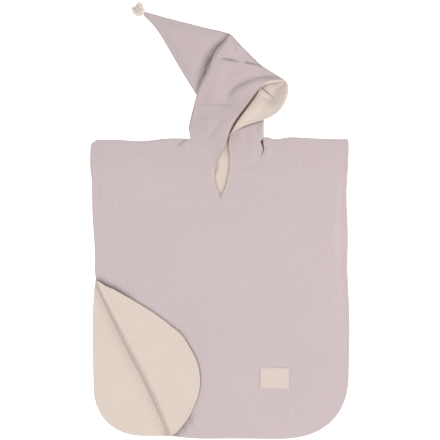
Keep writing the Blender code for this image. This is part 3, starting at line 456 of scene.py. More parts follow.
# ---- cloth walls -----------------------------------------------------------------------
class Cloth:
    """A panel's middle surface: grids welded into one, with normals to its outer side."""

    def __init__(self, sheets, outer_up):
        points, rims, quads, start = [], [], [], 0
        for sheet in sheets:
            grid, rim = sheet if isinstance(sheet, tuple) else (sheet, np.full(sheet.shape[:2], FAR))
            rows, columns = grid.shape[:2]
            k = start + np.arange(rows * columns).reshape(rows, columns)
            quads.append(np.stack((k[:-1, :-1], k[1:, :-1], k[1:, 1:], k[:-1, 1:]), axis=-1).reshape(-1, 4))
            points.append(grid.reshape(-1, 3))
            rims.append(rim.reshape(-1))
            start += rows * columns
        points, rims, quads = np.concatenate(points), np.concatenate(rims), np.concatenate(quads)
        cell = np.floor(points / WELD[0] + WELD[1]).astype(np.int64)
        _, first, index = np.unique(cell, axis=0, return_index=True, return_inverse=True)
        index = index.reshape(-1)
        rim = np.full(len(first), FAR)
        np.minimum.at(rim, index, rims)
        self.points, self.rim, self.faces = points[first], rim, self.clean(index[quads])
        self.orient(outer_up)

    @staticmethod
    def clean(quads):
        """Quads without those that have shrunk to a line; a quad with one short side is a triangle."""
        same = quads == np.roll(quads, -1, axis=1)
        whole = quads[same.sum(axis=1) == 0].tolist()
        three = [list(dict.fromkeys(quad)) for quad in quads[same.sum(axis=1) == 1].tolist()]
        return whole + [face for face in three if len(face) == 3]

    def orient(self, outer_up):
        """All faces turned the same way, out, and the vertex normals read from them."""
        mesh = bpy.data.meshes.new("middle")
        mesh.from_pydata(self.points.tolist(), [], self.faces)
        form = bmesh.new()
        form.from_mesh(mesh)
        bmesh.ops.recalc_face_normals(form, faces=form.faces)
        form.faces.ensure_lookup_table()
        if (form.faces[0].normal.z > 0) != outer_up:
            bmesh.ops.reverse_faces(form, faces=form.faces)
        form.normal_update()
        self.normals = np.array([v.normal for v in form.verts])
        self.faces = [[v.index for v in face.verts] for face in form.faces]
        self.rims = [(loop.vert.index, loop.link_loop_next.vert.index)
                     for edge in form.edges if edge.is_boundary for loop in edge.link_loops]
        form.free()
        bpy.data.meshes.remove(mesh)

    def wall(self, name, side, finish, bulk=HEM_BULK, marks=()):
        """A closed wall on one side of the middle surface. Its outer face rounds down at free
        edges as a quarter ellipse, and is thicker over the seam allowance beside them.
        A mark is an attribute's name and the function of this cloth that gives its values."""
        near = 1 - np.minimum(self.rim / NOSE, 1)
        over_seam = 1 - smooth((self.rim - HEM_BAND[0]) / HEM_BAND[1] + 0.5)
        full = HALF + bulk * over_seam * rises(self.rim, 0, NOSE)
        low = GAP / 2
        high = 2 * low + (full - 2 * low) * np.sqrt(1 - near ** 2)
        count = len(self.points)
        verts = np.concatenate((self.points + self.normals * (side * high)[:, None],
                                self.points + self.normals * (side * low)))
        verts[:, 2] = np.maximum(verts[:, 2], 0.0)
        faces = self.faces + [[i + count for i in reversed(face)] for face in self.faces]
        faces += [[b, a, a + count, b + count] for a, b in self.rims]
        if side < 0:
            faces = [face[::-1] for face in faces]
        piece = add_piece(name, verts * MM, faces, finish)
        for label, values_of in marks:
            values = values_of(self)
            attribute = piece.data.attributes.new(label, "FLOAT", "POINT")
            attribute.data.foreach_set("value", np.concatenate((values, values)).astype(np.float32))
        return piece


def shell_of(sheets, seams, outer_up):
    """The cloth of a shell, which turns over at its seams, each an (edge, way out, seam level)."""
    return Cloth(sheets + [turn_down(*seam) for seam in seams], outer_up)


def lining_of(sheets, seams, outer_up):
    """The cloth of a lining, which ends flat inside the shell's turns."""
    return Cloth(sheets + [run_on(edge, outward) for edge, outward, _ in seams], outer_up)


def add_piece(name, verts, faces, finish, sharp=42):
    """A mesh object at the origin, smooth but for its sharp edges, with its finish."""
    mesh = bpy.data.meshes.new(name)
    mesh.from_pydata(np.asarray(verts).tolist(), [], faces)
    mesh.materials.append(finish)
    mesh.shade_smooth()
    mesh.set_sharp_from_angle(angle=math.radians(sharp))
    piece = bpy.data.objects.new(name, mesh)
    bpy.context.scene.collection.objects.link(piece)
    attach(piece, "root")
    return piece


def fold_frame():
    """The fold's direction, the way across it onto the folded corner, and its length."""
    run = np.array(FOLD_FOOT) - np.array(FOLD_TOP)
    length = np.linalg.norm(run)
    run /= length
    return run, np.array((-run[1], run[0])), length


def fold_side(points):
    """Distance of points from the bowed fold of the front's corner, positive on the folded
    corner, and the half width of the pressed band at their place along it."""
    run, across, _ = fold_frame()
    away = points[..., :2] - np.array(FOLD_TOP)
    edge, half = read_table(FOLD_BOW, away @ run)
    return away @ across - edge, half


# ---- front, with its folded corner ------------------------------------------------------
def rolled(edge, outward, reach, radius=EDGE_ROLL):
    """Lining that rolls up over an edge and lies on the shell, sinking slightly towards its end."""
    bend = turn_over(edge, outward, radius, ROLL_STEPS, 1)
    back = []
    for part in ROLL_PARTS:
        plan = edge[:, :2] - outward * (reach * part)[:, None]
        back.append(raised(plan, bend[-1][:, 2] - ROLL_SINK * part ** 2))
    grid = np.stack(back)
    return [bend, (grid, rim_distance(grid, "last row"))]


def slope_reach(along, length):
    """How far the fold's slope reaches at a place along the fold: less at both of its ends."""
    least, most, _ = FOLD_SLOPE
    return least + (most - least) * rises(along, 0, 60) * smooth((length - along) / 30 + 0.3)


def fold_over(edge, outward, reach, crest):
    """The soft fold of a thick cloth: flat out to its line, a tight turn up, and a slope back
    over the panel that eases off like a power of the distance from its top."""
    radius = FOLD_SLOPE[2]
    top = 2 * FLAP_BEND + crest
    reach = np.reshape(reach, (-1, 1))
    rows = [edge]
    for angle in np.radians(FOLD_ANGLES):
        out = reach - radius + radius * math.cos(angle)
        rows.append(raised(edge[:, :2] + outward * out, edge[:, 2] + radius * (1 + math.sin(angle))))
    first, level = out, radius * (1 + math.sin(angle))
    for part in FOLD_PARTS:
        height = edge[:, 2] + top - (top - level) * part ** 1.5
        rows.append(raised(edge[:, :2] + outward * first * part, height))
    return np.stack(rows)


def shoulder_seam(edge):
    """A seam along a shoulder, where a panel turns over upwards in plan."""
    return edge, np.tile((0.0, 1.0), (len(edge), 1)), SEAM_LEVEL


def front_rise(plan, inner, outer):
    """Height of the front over its level: a soft puff with creases, flat under the label and where
    the folded corner lies, and a low ridge beside the open seam at the neck."""
    flap_gap, _, _ = distance_to(plan, np.array((FOLD_TOP, FOLD_FOOT)))
    neck_gap, _, _ = distance_to(plan, inner[::6])
    edge_gap, _, _ = distance_to(plan, outer[::6])
    puff, from_edge, from_neck = FRONT_PUFF
    room = puff * rises(edge_gap, 0, from_edge) * rises(flap_gap, *PUFF_CLEAR) * rises(neck_gap, 0, from_neck)
    creases = creased(plan, BODY_CREASES) * rises(flap_gap, *CREASE_CLEAR) * rises(edge_gap, 0, HEM_FLAT)
    label_gap = np.linalg.norm(plan - np.array(LABEL_CENTRE), axis=-1)
    height = (room + creases) * rises(neck_gap, 0, NECK_FLAT) * rises(label_gap, *LABEL_CLEAR)
    x, y = plan[..., 0], plan[..., 1]
    ridge, width, start_x = SHOULDER_PUFF
    comes, full, goes, gone = SHOULDER_PUFF_Y
    beside = (x > start_x) * rises(y, comes, full - comes) * fades(y, goes, gone - goes)
    return np.maximum(height + ridge * beside * fades(neck_gap, 0, width), 0)


def flap_sheet(edge, across, width, crest):
    """The folded corner: rows from its fold out to its free edge, which curls up a little."""
    share = shares_to(FLAP_ROWS, False, True)[:, None, None]
    plan = edge[None, :, :2] + share * width[None, :, None] * across
    flap = raised(plan, FLAP_LEVEL)
    rim = rim_distance(flap, "last row")
    from_fold = np.linalg.norm(flap - flap[:1], axis=-1)
    lift, full_at = FLAP_LIFT
    rise = lift * rises(from_fold, 0, full_at) + creased(plan, FLAP_CREASES) * rises(from_fold, 0, full_at)
    rise = np.maximum(rise, 0) * rises(rim, 0, FLAP_EASE)
    rise = rise + crest[None, :] * fades(from_fold, 0, FOLD_CREST[0])
    curl_width, curl = FLAP_CURL
    rise = rise + curl * (1 - smooth(rim / curl_width - 0.1)) * rises(width, 0, FLAP_CURLED)[None, :]
    flap[..., 2] += rise
    return flap, rim


def front_cloth():
    """The front round its neckline and slit, its shoulder turns and its folded corner."""
    fold, across, fold_length = fold_frame()
    along = np.linspace(0, fold_length, FOLD_POINTS)
    slope = slope_reach(along, fold_length)
    start = slope + HALF + read_table(curve(np.array(FOLD_BOW)[:, :2], 200), along)[0]
    fold_line = np.array(FOLD_TOP) + along[:, None] * fold + start[:, None] * across

    inner = join(curve(NECK_LEFT, NECK_POINTS[0]), curve(SLIT_LEFT, SLIT_POINTS[0]),
                 curve(SLIT_RIGHT, SLIT_POINTS[1]), curve(NECK_RIGHT, NECK_POINTS[1]))
    slit = slice(NECK_POINTS[0] - 1, NECK_POINTS[0] + sum(SLIT_POINTS) - 2)
    angles = np.linspace(-math.pi / 2, 0, CORNER_POINTS)
    power = 2 / CORNER_POWER
    corner = np.stack((CORNER_CENTRE[0] + CORNER_REACH[0] * np.cos(angles).clip(0) ** power,
                       CORNER_CENTRE[1] - CORNER_REACH[1] * np.abs(np.sin(angles)) ** power), axis=1)
    corner[-1] = FRONT_RIGHT[0]
    right_points = len(inner) - (SIDE_POINTS + FOLD_POINTS + HEM_POINTS + CORNER_POINTS - 4)
    outer = join(curve(FRONT_LEFT + (tuple(fold_line[0]),), SIDE_POINTS), fold_line,
                 curve((tuple(fold_line[-1]),) + HEM, HEM_POINTS), corner, curve(FRONT_RIGHT, right_points))
    inner[:, 0] += read_table(SEAM_GAP, inner[:, 1])[0] * (inner[:, 0] > SEAM_GAP_X)
    u, v = np.linspace(0, 1, len(inner)), shares_to(FRONT_ROWS, True, True)
    plan = patch(inner, outer, curve(SHOULDER_LEFT, v), curve(SHOULDER_RIGHT, v), u, v)
    rim = rim_distance(raised(plan, 0), "last column")
    rim[SIDE_POINTS:SIDE_POINTS + FOLD_POINTS - 2] = FAR
    rim[slit] = np.minimum(rim[slit], rim_distance(raised(plan, 0), "first column")[slit])
    panel = raised(plan, FRONT_LEVEL + front_rise(plan, inner, outer))

    edge = panel[SIDE_POINTS - 1:SIDE_POINTS + FOLD_POINTS - 1, -1]
    width = np.maximum(read_table(curve(FLAP_REACH, 400), along)[0] - start, FLAP_LEAST)
    crest = FOLD_CREST[1] * rises(width, *FLAP_CRESTED)
    turn = fold_over(edge, np.tile(-across, (len(edge), 1)), slope, crest)
    sheets = [(panel, rim), turn, flap_sheet(edge, across, width, crest)]
    seams = [shoulder_seam(panel[0]), shoulder_seam(panel[-1])]
    slit_edge = panel[slit, 0]
    lip = rolled(slit_edge, left_of(slit_edge), np.full(len(slit_edge), LEAST_ROLL))
    return shell_of(sheets, seams, True), lining_of(sheets + lip, seams, True)


# ---- back -------------------------------------------------------------------------------
def back_cloth():
    """The back in rows from shoulder to hem, its shoulder turns and its edge at the neck."""
    left_table = curve(BACK_LEFT, 400)
    right_table = curve([(y, x - BACK_INSET) for x, y in reversed(FRONT_RIGHT)], 400)
    corner_y, reach_x, reach_y, power = BACK_CORNER
    hem = corner_y - reach_y
    right_reach = (CORNER_REACH[0] - BACK_INSET, CORNER_CENTRE[1] - hem)
    low_rows, hem_rows = BACK_LOW_ROWS
    stretches = BACK_ROWS + ((CORNER_CENTRE[1], hem + BACK_HEM_ZONE, low_rows),)
    rows = np.concatenate([np.linspace(*stretch)[:-1] for stretch in stretches]
                          + [hem + BACK_HEM_ZONE * np.linspace(1, 0, hem_rows) ** 2])

    def side(table, y):
        """x of a side at y, from points that run down it."""
        return np.interp(-y, -table[:, 0], table[:, 1])

    def bulge(y, centre_y, reach, power):
        """How far a rounded corner has drawn in at y: a superellipse below its centre."""
        share = np.clip((centre_y - y) / reach[1], 0, 1)
        return reach[0] * (1 - (1 - share ** power).clip(0) ** (1 / power))

    left = side(left_table, np.maximum(rows, corner_y)) + bulge(rows, corner_y, (reach_x, reach_y), power)
    right = side(right_table, np.maximum(rows, CORNER_CENTRE[1] + 1))
    right = right - bulge(rows, CORNER_CENTRE[1], right_reach, CORNER_POWER)
    neck_left, neck_right = NECK_LEFT[0][0], NECK_RIGHT[-1][0]
    ends, right_ends = (shares_to(count, True, False) for count in BACK_COLUMNS)
    spots = np.concatenate((left[0] + (neck_left - left[0]) * ends,
                            np.linspace(neck_left, neck_right, NECK_COLUMNS + 1)[1:],
                            right[0] + (neck_right - right[0]) * right_ends[::-1][1:]))
    share = (spots - left[0]) / (right[0] - left[0])
    plan = np.stack((left[None] + share[:, None] * (right - left)[None],
                     np.broadcast_to(rows, (len(share), len(rows)))), axis=-1)
    shoulders = np.concatenate((curve(SHOULDER_LEFT, 120)[::-1], curve(SHOULDER_RIGHT, 120)))
    plan[:, 0, 1] = read_table(shoulders, spots)[0]
    aside, _ = fold_side(plan)
    height, reach = BACK_RIDGE
    top, foot, ease = BACK_RIDGE_Y
    ridge = height * smooth((aside + reach) / (reach - 1)) * fades(aside, -0.8, 2.2)
    ridge = ridge * smooth((top - plan[..., 1]) / ease) * rises(plan[..., 1], foot, ease)
    panel = raised(plan, BACK_LEVEL + ridge)
    sheets = [(panel, rim_distance(panel, "first row", "last row", "last column"))]
    first, last = len(ends), len(ends) + NECK_COLUMNS - 1
    seams = [shoulder_seam(panel[:first, 0]), shoulder_seam(panel[last:, 0])]
    neck = panel[first - 1:last + 1, 0]
    lifted = neck.copy()
    lifted[:, 1] = read_table(BACK_NECK, neck[:, 0])[0]
    lifted[0, 0] += BEND
    lifted[-1, 0] -= BEND
    sheets.append(np.stack((neck, lifted)))
    return shell_of(sheets, seams, False), lining_of(sheets, seams, False)


# ---- hood -------------------------------------------------------------------------------
NECK_ROWS, SIDE_ROWS, TUCK_ROWS = 56, 56, 78   # along the neckline, the hood's left edge and the tuck
HOOD_SHARES = shares_to(96, False, True)       # across the hood, dense at its rim
# Along the tip, dense beside the tuck: its upper side, and its lower side, which lies flat
TIP_SHARES = np.concatenate((np.linspace(0, 0.26, 52), np.linspace(0.26, 1, 34)[1:]))
FLAT_TIP_SHARES = np.concatenate((np.linspace(0, 0.05, 12), np.linspace(0.05, 1, 28)[1:]))


def hood_edges():
    """The hood's outlines, and their insets where its sides turn over to their seam."""
    side, tuck = curve(HOOD_LEFT_EDGE, SIDE_ROWS), curve(TUCK, TUCK_ROWS)
    crown = curve(CROWN, HOOD_SHARES)
    lower, upper = curve(TIP_LOWER, TIP_SHARES), curve(TIP_UPPER, TIP_SHARES)
    side_flat = side - left_of(side) * ROUND
    crown_flat = crown - left_of(crown) * ROUND
    lower_flat = lower - left_of(lower) * ROUND
    upper_flat = upper + left_of(upper) * ROUND
    low_corner = corner_inset(side[-1], left_of(side)[-1], left_of(lower)[0], ROUND)
    high_corner = corner_inset(crown[0], left_of(crown)[0], -left_of(upper)[0], ROUND)
    tuck_corner = corner_inset(crown[0], left_of(crown)[0], left_of(tuck)[-1], ROUND)
    return {"side": side_flat, "tuck": tuck, "crown": crown_flat, "lower": lower_flat, "upper": upper_flat,
            "low_corner": low_corner, "high_corner": high_corner, "tuck_corner": tuck_corner}


def rim_curve(edges, shares):
    """The rim of the hood's lower side, from under the slit to the crown."""
    return curve(FAR_RIM + (tuple(edges["crown"][-1]),), shares)


def lower_side_height(plan, rim, slit_ease=LOWER_SLIT_EASE):
    """Height of the hood's lower side: flat on the ground, lifted along its rim."""
    gap, where, _ = distance_to(plan, rim)
    lift, full, gone = read_table(RIM_LIFT, where)
    beside_slit = rises(plan[..., 0], *slit_ease)
    return BACK_LEVEL + lift * beside_slit * fades(gap, full, gone - full)


def upper_side_height(plan, rim):
    """Height of the hood's upper side: clear of the lower side, puffed and creased."""
    to_side, _, _ = distance_to(plan, curve(HOOD_LEFT_EDGE, 24))
    to_crown, _, _ = distance_to(plan, curve(CROWN, 32))
    to_tuck, where, _ = distance_to(plan, curve(TUCK, 32))
    risen = rises(plan[..., 1], *PUFF_RISE)
    puff = HOOD_PUFF * rises(to_side, 0, PUFF_EASE[0]) * rises(to_crown, 0, PUFF_EASE[1]) * risen
    held = TUCK_OVERLAP[0] * (1 - where) + TUCK_OVERLAP[1] * where + TUCK_HOLD
    over_tuck = 2 * STEP + TUCK_LIFT * np.sin(math.pi * where)
    over_tuck = over_tuck * fades(to_tuck, held, TUCK_EASE - held)
    extra = np.hypot(puff, over_tuck)
    folds = creased(plan, HOOD_CREASES) * rises(extra, 0, CREASE_ROOM)
    return lower_side_height(plan, rim, UPPER_SLIT_EASE) + STEP + np.maximum(extra + folds, over_tuck)


def near_rim(edges, shares):
    """The hood's near rim, from the top of the slit's left edge to the crown."""
    return curve((NECK_LEFT[-1],) + NEAR_RIM + (tuple(edges["crown"][-1]),), shares)


def rim_fold(plan, rim):
    """Fall and rise of the lower side along the near rim: it drops into an open fold under the
    rim, and comes up steeply on the mouth's side of that fold."""
    gap, where, side = distance_to(plan, rim)
    beyond = -gap * side
    width, depth, height = read_table(RIM_FOLD, where)
    wall = rises(beyond, width, RIM_WALL)
    fall = depth * (1 - wall) * rises(beyond, *RIM_FALL)
    rise = height * wall * fades(beyond - width, *RIM_RISE)
    return fall, rise


def hood_left_cloth():
    """The hood's left side: one sheet on the ground, tip included, its edges turned up to the seams."""
    edges = hood_edges()
    rim = rim_curve(edges, SIDE_ROWS + TUCK_ROWS - 1)
    side = edges["side"].copy()
    side[-1] = edges["low_corner"]
    crown = edges["crown"].copy()
    crown[0] = edges["high_corner"]
    middle = edges["tuck"].copy()
    middle[0], middle[-1] = edges["low_corner"], edges["high_corner"]
    bottom = resample(np.array((side[0], rim[0])), HOOD_SHARES)
    left = join(side, middle)
    v = np.linspace(0, 1, len(left))
    plan = patch(bottom, crown, left, rim, HOOD_SHARES, v)
    gap, where, side_of = distance_to(plan, curve(CROWN_SEAM, 16))
    step = CROWN_SEAM_STEP * smooth(0.5 + gap * side_of / 2.0) * fades(gap, 2, 26)
    step = step * (1 - smooth(where * 1.3 - 0.3)) * smooth(8 * where)
    half, depth = CROWN_SEAM_GROOVE
    groove = depth * np.exp(-(gap / half) ** 2) * (1 - smooth(where * 1.6 - 0.5))
    relief = creased(plan, FAR_CREASES) + step - groove
    rim_gap, _, _ = distance_to(plan, rim_curve(edges, 120))
    fall, rise = rim_fold(plan, near_rim(edges, 120))
    relief = np.maximum(relief, -3) * rises(plan[..., 0], 20, 30) + rise * rises(rim_gap, 0, 16) - fall
    main = raised(plan, np.maximum(lower_side_height(plan, rim_curve(edges, 120)) + relief, BACK_LEVEL))
    sheets = [(main, rim_distance(main, "last row"))]

    lower, upper = edges["lower"].copy(), edges["upper"].copy()
    lower[0], upper[0] = middle[0], middle[-1]
    lower, upper = resample(lower, FLAT_TIP_SHARES), resample(upper, FLAT_TIP_SHARES)
    end = resample(np.array((lower[-1], upper[-1])), TUCK_ROWS)
    tip = raised(patch(middle, end, lower, upper, np.linspace(0, 1, TUCK_ROWS), FLAT_TIP_SHARES), BACK_LEVEL)
    left_line = join(main[0, :SIDE_ROWS], tip[0])
    right_line = join(main[::-1, -1], tip[-1])
    sheets.append(tip)
    seams = [(left_line, left_of(left_line), left_line[:, 2] + BEND),
             (right_line, -left_of(right_line), right_line[:, 2] + BEND)]
    return shell_of(sheets, seams, False), lining_of(sheets, seams, False)


def tuck_pleats(plan, tuck):
    """Small pleats that run beside the tuck: a cosine of the distance from it, which wanders a
    little along the tuck and dies out at both ends and away from it."""
    pitch, reach, rise = PLEATS
    gap, where, _ = distance_to(plan, tuck)
    middle = np.sin(math.pi * np.clip(where, 0.02, 0.98))
    wander = 1.8 * np.sin(8.0 * where + 0.6) + 1.1 * np.sin(21.0 * where + gap / 3)
    wave = 0.5 + 0.5 * np.cos(2 * math.pi * (gap + wander) / pitch)
    uneven = 0.7 + 0.3 * np.sin(27.0 * where + gap)
    share = gap / (5 + reach * middle ** 0.9)
    return rise * wave * uneven * middle * fades(share, 0.2, 0.7)


def seam_strip(edge, outward):
    """The shell past the neckline seam: it dips under the front's edge, so the seam is a groove."""
    return np.stack([raised(edge[:, :2] + outward * reach, edge[:, 2] - dip)
                     for reach, dip in ((0.0, 0.0), (0.4, 0.18), (1.0, 0.7), (2.4, 0.9))])


def hood_right_cloth():
    """The hood's right side: it bulges over the left side, folds under and back at the tuck,
    and goes on as the upper side of the tip. Its lining rolls out over the rim."""
    edges = hood_edges()
    far_rim = rim_curve(edges, 120)
    seam_row = NECK_ROWS - 1
    tuck_row = seam_row + SIDE_ROWS - 1
    rows = tuck_row + TUCK_ROWS
    neck = curve(NECK_LEFT[::-1], NECK_ROWS)
    corner_room = SEAM_ROOM + 1.0 * np.linspace(0, 1, NECK_ROWS) ** 5
    neck = neck - left_of(neck) * corner_room[:, None]
    neck[-1] = edges["side"][0]
    crown = edges["crown"].copy()
    crown[0] = edges["tuck_corner"]
    rim = near_rim(edges, rows)
    rim[0] = neck[0]

    tuck = edges["tuck"]
    outward = left_of(tuck)
    under_level = FRONT_LEVEL + STEP
    radius = np.maximum((upper_side_height(tuck, far_rim) - under_level) / 2, BEND)
    radius[0] = radius[-1] = BEND
    start = tuck - outward * (radius + HALF)[:, None]
    start[-1] = edges["tuck_corner"]
    side = edges["side"].copy()
    side[-1] = start[0]
    slit_top = np.tile(neck[0], (len(HOOD_SHARES), 1))
    plan = patch(slit_top, crown, join(neck, side, start), rim, HOOD_SHARES, np.linspace(0, 1, rows))
    height = upper_side_height(plan, far_rim)
    height[0, tuck_row:] = under_level + 2 * radius
    main = raised(plan, height)
    sheets = [(main, rim_distance(main, "last row"))]

    fold = turn_over(main[0, tuck_row:], outward, radius, TUCK_STEPS, -1)
    share = np.linspace(0, 1, TUCK_ROWS)[:, None]
    overlap = TUCK_OVERLAP[0] * (1 - share) + TUCK_OVERLAP[1] * share - BEND - HALF
    hidden = raised(start - outward * overlap, under_level)
    under = np.stack((fold[-1], hidden))
    back_fold = turn_over(hidden, -outward, BEND, HIDDEN_STEPS, -1)

    lower, upper = edges["lower"], edges["upper"]
    first = back_fold[-1][:, :2]
    end = resample(np.array((lower[-1], upper[-1])), TUCK_ROWS)
    low_line = np.concatenate((first[:1], edges["low_corner"][None] + TIP_STARTS[0], lower[1:]))
    high_line = np.concatenate((first[-1:], edges["high_corner"][None] + TIP_STARTS[1], upper[1:]))
    v = np.concatenate(([0.0], 0.04 + 0.96 * TIP_SHARES))
    tip_plan = patch(first, end, low_line, high_line, np.linspace(0, 1, TUCK_ROWS), v)
    to_tuck, _, _ = distance_to(tip_plan, tuck)
    beyond = np.arange(len(low_line))[None, :] > 1
    to_edge = np.minimum(*(distance_to(tip_plan, curve(line, 40))[0] for line in (TIP_LOWER, TIP_UPPER)))
    inside = rises(to_edge, 0, TIP_EASE[0])
    puff = TIP_PUFF * inside * rises(to_tuck, TIP_FLAT, TIP_EASE[1]) * beyond
    relief = creased(tip_plan, TIP_CREASES) * inside * beyond
    relief = relief + tuck_pleats(tip_plan, tuck) * rises(to_edge, 0, PLEAT_EASE) * beyond
    tip = raised(tip_plan, FRONT_LEVEL + np.maximum(puff + relief, 0))

    left_edge, crown_edge = main[0, seam_row:tuck_row + 1], main[:, -1]
    sheets += [fold, under, back_fold, tip]
    seams = [(left_edge, left_of(left_edge), lower_side_height(left_edge, far_rim) + BEND),
             (crown_edge, left_of(crown_edge), lower_side_height(crown_edge, far_rim) + BEND)]
    for line, sign in ((tip[0, 2:], 1), (tip[-1, 2:], -1)):
        seams.append((line, sign * left_of(line), SEAM_LEVEL))
    edge, along = main[-1], np.linspace(0, 1, rows)
    radius = EDGE_ROLL + (ROLL - EDGE_ROLL) * rises(along, *ROLL_SWELLS)
    lip = rolled(edge, -left_of(edge), read_table(RIM_ROLL, along)[0], radius)
    strip = seam_strip(main[0, :seam_row + 1], left_of(neck))
    return shell_of(sheets + [strip], seams, True), lining_of(sheets + lip, seams, True)


def hood_neck_cloth():
    """The stretch of the hood's left side that wraps round from the back to the front of the neck."""
    neckline = curve(NECK_RIGHT, 80)
    neckline = neckline + left_of(neckline) * SEAM_ROOM
    outermost, foot_y, top_y = NECK_FOLD
    fold_x = outermost - ROUND
    neckline[:, 0] = np.minimum(neckline[:, 0], fold_x)
    neckline[:, 0] -= read_table(NECK_DENT, neckline[:, 1])[0] * (neckline[:, 0] > SEAM_GAP_X)
    neckline[-1] = fold_x, foot_y
    fold_top = (fold_x, top_y)
    edge = resample(np.array((neckline[-1], fold_top)), 30)
    right = join(neckline, edge)
    left = curve((tuple(neckline[0]),) + NECK_LEFT_EDGE, len(right))
    u = np.linspace(0, 1, NECK_STRIPS)
    top = resample(np.array((left[-1], fold_top)), u)
    plan = patch(np.tile(neckline[0], (len(u), 1)), top, left, right, u, np.linspace(0, 1, len(right)))
    to_seam, _, _ = distance_to(plan, neckline)
    rise = np.maximum(creased(plan, NECK_CREASES) + NECK_PUFF[0], 0)
    height = FRONT_LEVEL + rise * rises(to_seam, 0, NECK_PUFF[1])
    height[-1] = FRONT_LEVEL
    front = raised(plan, height)
    outward = np.tile((1.0, 0.0), (len(edge), 1))
    fold = turn_over(front[-1, -len(edge):], outward, BEND, NECK_STEPS, -1)
    share = np.linspace(0, 1, NECK_BACK_STRIPS)[:, None, None]
    end_x, low_y, high_y = NECK_BACK_END
    end = np.stack((np.full(len(edge), end_x), np.linspace(low_y, high_y, len(edge))), axis=1)
    back = raised((1 - share) * edge[None] + share * end[None], BACK_LEVEL)
    strip = seam_strip(front[-1, :len(neckline)], -left_of(neckline))
    edge = front[0]
    lip = rolled(edge, left_of(edge), np.full(len(edge), LEAST_ROLL))
    return shell_of([front, fold, back, strip], [], True), lining_of([front, fold, back] + lip, [], True)


# ---- marks, read by the finishes: painted shade, and where the lining shows --------------
# Strength of each mark, 1 being full; the SHADE ones are painted shade. The gathered strip's goes
# past 1, so that it is full over some width
RIM_BLUSH, NECK_BLUSH = 0.55, 0.9
FOLD_SHADE, SEAM_SHADE, INSIDE_SHADE, LIP_SHADE = 0.8, 0.85, 0.045, 0.75
HEM_SHADE, GATHER_SHADE, PLEAT_SHADE, STITCH_SHADE, CAST_SHADE = 0.75, 1.3, 0.6, 0.8, 0.9
TUCK_SHADE = (0.25, 0.45)  # at the tuck's ends, and how much more in its middle
# How far each reaches from its line, mm
RIM_REACH, SLIT_REACH, NECK_REACH, PLEAT_REACH, FOOT_REACH = 9.0, 7.0, 6.0, 6.0, 16.0
SEAM_HALF, STITCH_HALF = 1.5, 2.4   # half widths
TUCK_WIDTH = (5.0, 19.0)   # at the tuck's ends, and how much more in its middle
# Distances from a line, mm: where a mark comes or goes, and how softly
ROLL_SEEN, HEM_LINE, CAST_END, LENS_END = (2.0, 2.0), (0.6, 1.0), (1.5, 4.0), (4.0, 5.0)
FOLD_START, FOLD_END_EASE = (-12.0, 6.0), 1.8
LIP_START, TUCK_START, TUCK_FULL = (-0.1, 0.4), (-1.0, 3.0), (1.0, 5.0)
SLIT_BAND = (3.5, 3.0)     # distance of the band's middle from the slit's edge, and its half width
# Shares of the length of a line: where a mark comes or goes, and how softly
BLUSH_COMES, BLUSH_GOES, ROLL_OPENS = (0.05, 0.1), (0.72, 0.06), (0.74, 0.1)
CAST_COMES, CAST_GOES, FOOT_COMES = (0.1, 0.14), (0.42, 0.1), (0.86, 0.05)
SLIT_FOOT_SHARE = 0.12     # share of the slit's edge, each side of its foot, over which its blush comes
FULL_FOLD, FULL_LIP = 2.6, 2.0   # depth of the rim's fold at which its shade is full
INSIDE_Y = (275.0, 25.0)   # y up to which the mouth's inside is painted dimmer, as shade, and how softly that ends
SLIT_EASE = 8.0            # how softly the shade beside the slit begins and ends
# Height over the front's middle surface past which a point is on an edge's roll, the folded
# corner or the hood
ON_ROLL, ON_FLAP, ON_HOOD = 0.3, 0.8, 8.0
FLAP_TOP_Y = -100.0        # the folded corner lies below this y


def slit_line():
    """The slit's edge, down its left side and up its right side."""
    return join(curve(SLIT_LEFT, 30), curve(SLIT_RIGHT, 30))


def blush(cloth):
    """How much of the lining shows through the muslin: most at the slit and the near rim."""
    points = cloth.points
    rim_gap, rim_where, _ = distance_to(points, near_rim(hood_edges(), 120))
    near = fades(rim_gap, 0, RIM_REACH) * rises(rim_where, *BLUSH_COMES)
    near = near * fades(rim_where, *BLUSH_GOES)
    slit_gap, where, _ = distance_to(points, slit_line())
    slit = fades(slit_gap, 0, SLIT_REACH) * rises(np.abs(where - 0.5), 0, SLIT_FOOT_SHARE)
    neck_gap, _, _ = distance_to(points, curve(NECK_LEFT_EDGE, 20))
    return np.maximum(np.maximum(RIM_BLUSH * near, slit), NECK_BLUSH * fades(neck_gap, 0, NECK_REACH))


def rolled_edge(cloth):
    """Where a lining is seen as the narrow roll of an edge, lying tight against the muslin."""
    points = cloth.points
    rim_gap, rim_where, _ = distance_to(points, near_rim(hood_edges(), 120))
    near = fades(rim_gap, *ROLL_SEEN) * fades(rim_where, *ROLL_OPENS)
    slit_gap, _, _ = distance_to(points, slit_line())
    neck_gap, _, _ = distance_to(points, curve(NECK_LEFT_EDGE, 20))
    slit = fades(np.minimum(slit_gap, neck_gap), *ROLL_SEEN) * (points[:, 2] > FRONT_LEVEL + ON_ROLL)
    return np.maximum(near, slit)


def rim_shade(cloth):
    """Painted shade on a lining: full in the fold under the near rim and in the crown's seam."""
    points = cloth.points
    gap, where, side = distance_to(points, near_rim(hood_edges(), 120))
    width, depth, _ = read_table(RIM_FOLD, where)
    beyond = -gap * side
    fold = fades(beyond, width * 0.8, FOLD_END_EASE) * rises(beyond, *FOLD_START) * rises(depth, 0, FULL_FOLD)
    seam_gap, seam_where, _ = distance_to(points, curve(CROWN_SEAM, 16))
    crown = np.exp(-(seam_gap / SEAM_HALF) ** 2) * (1 - smooth(seam_where * 1.4 - 0.3))
    inside = INSIDE_SHADE * fades(points[:, 1], *INSIDE_Y)
    return np.maximum(np.maximum(FOLD_SHADE * fold, SEAM_SHADE * crown), inside)


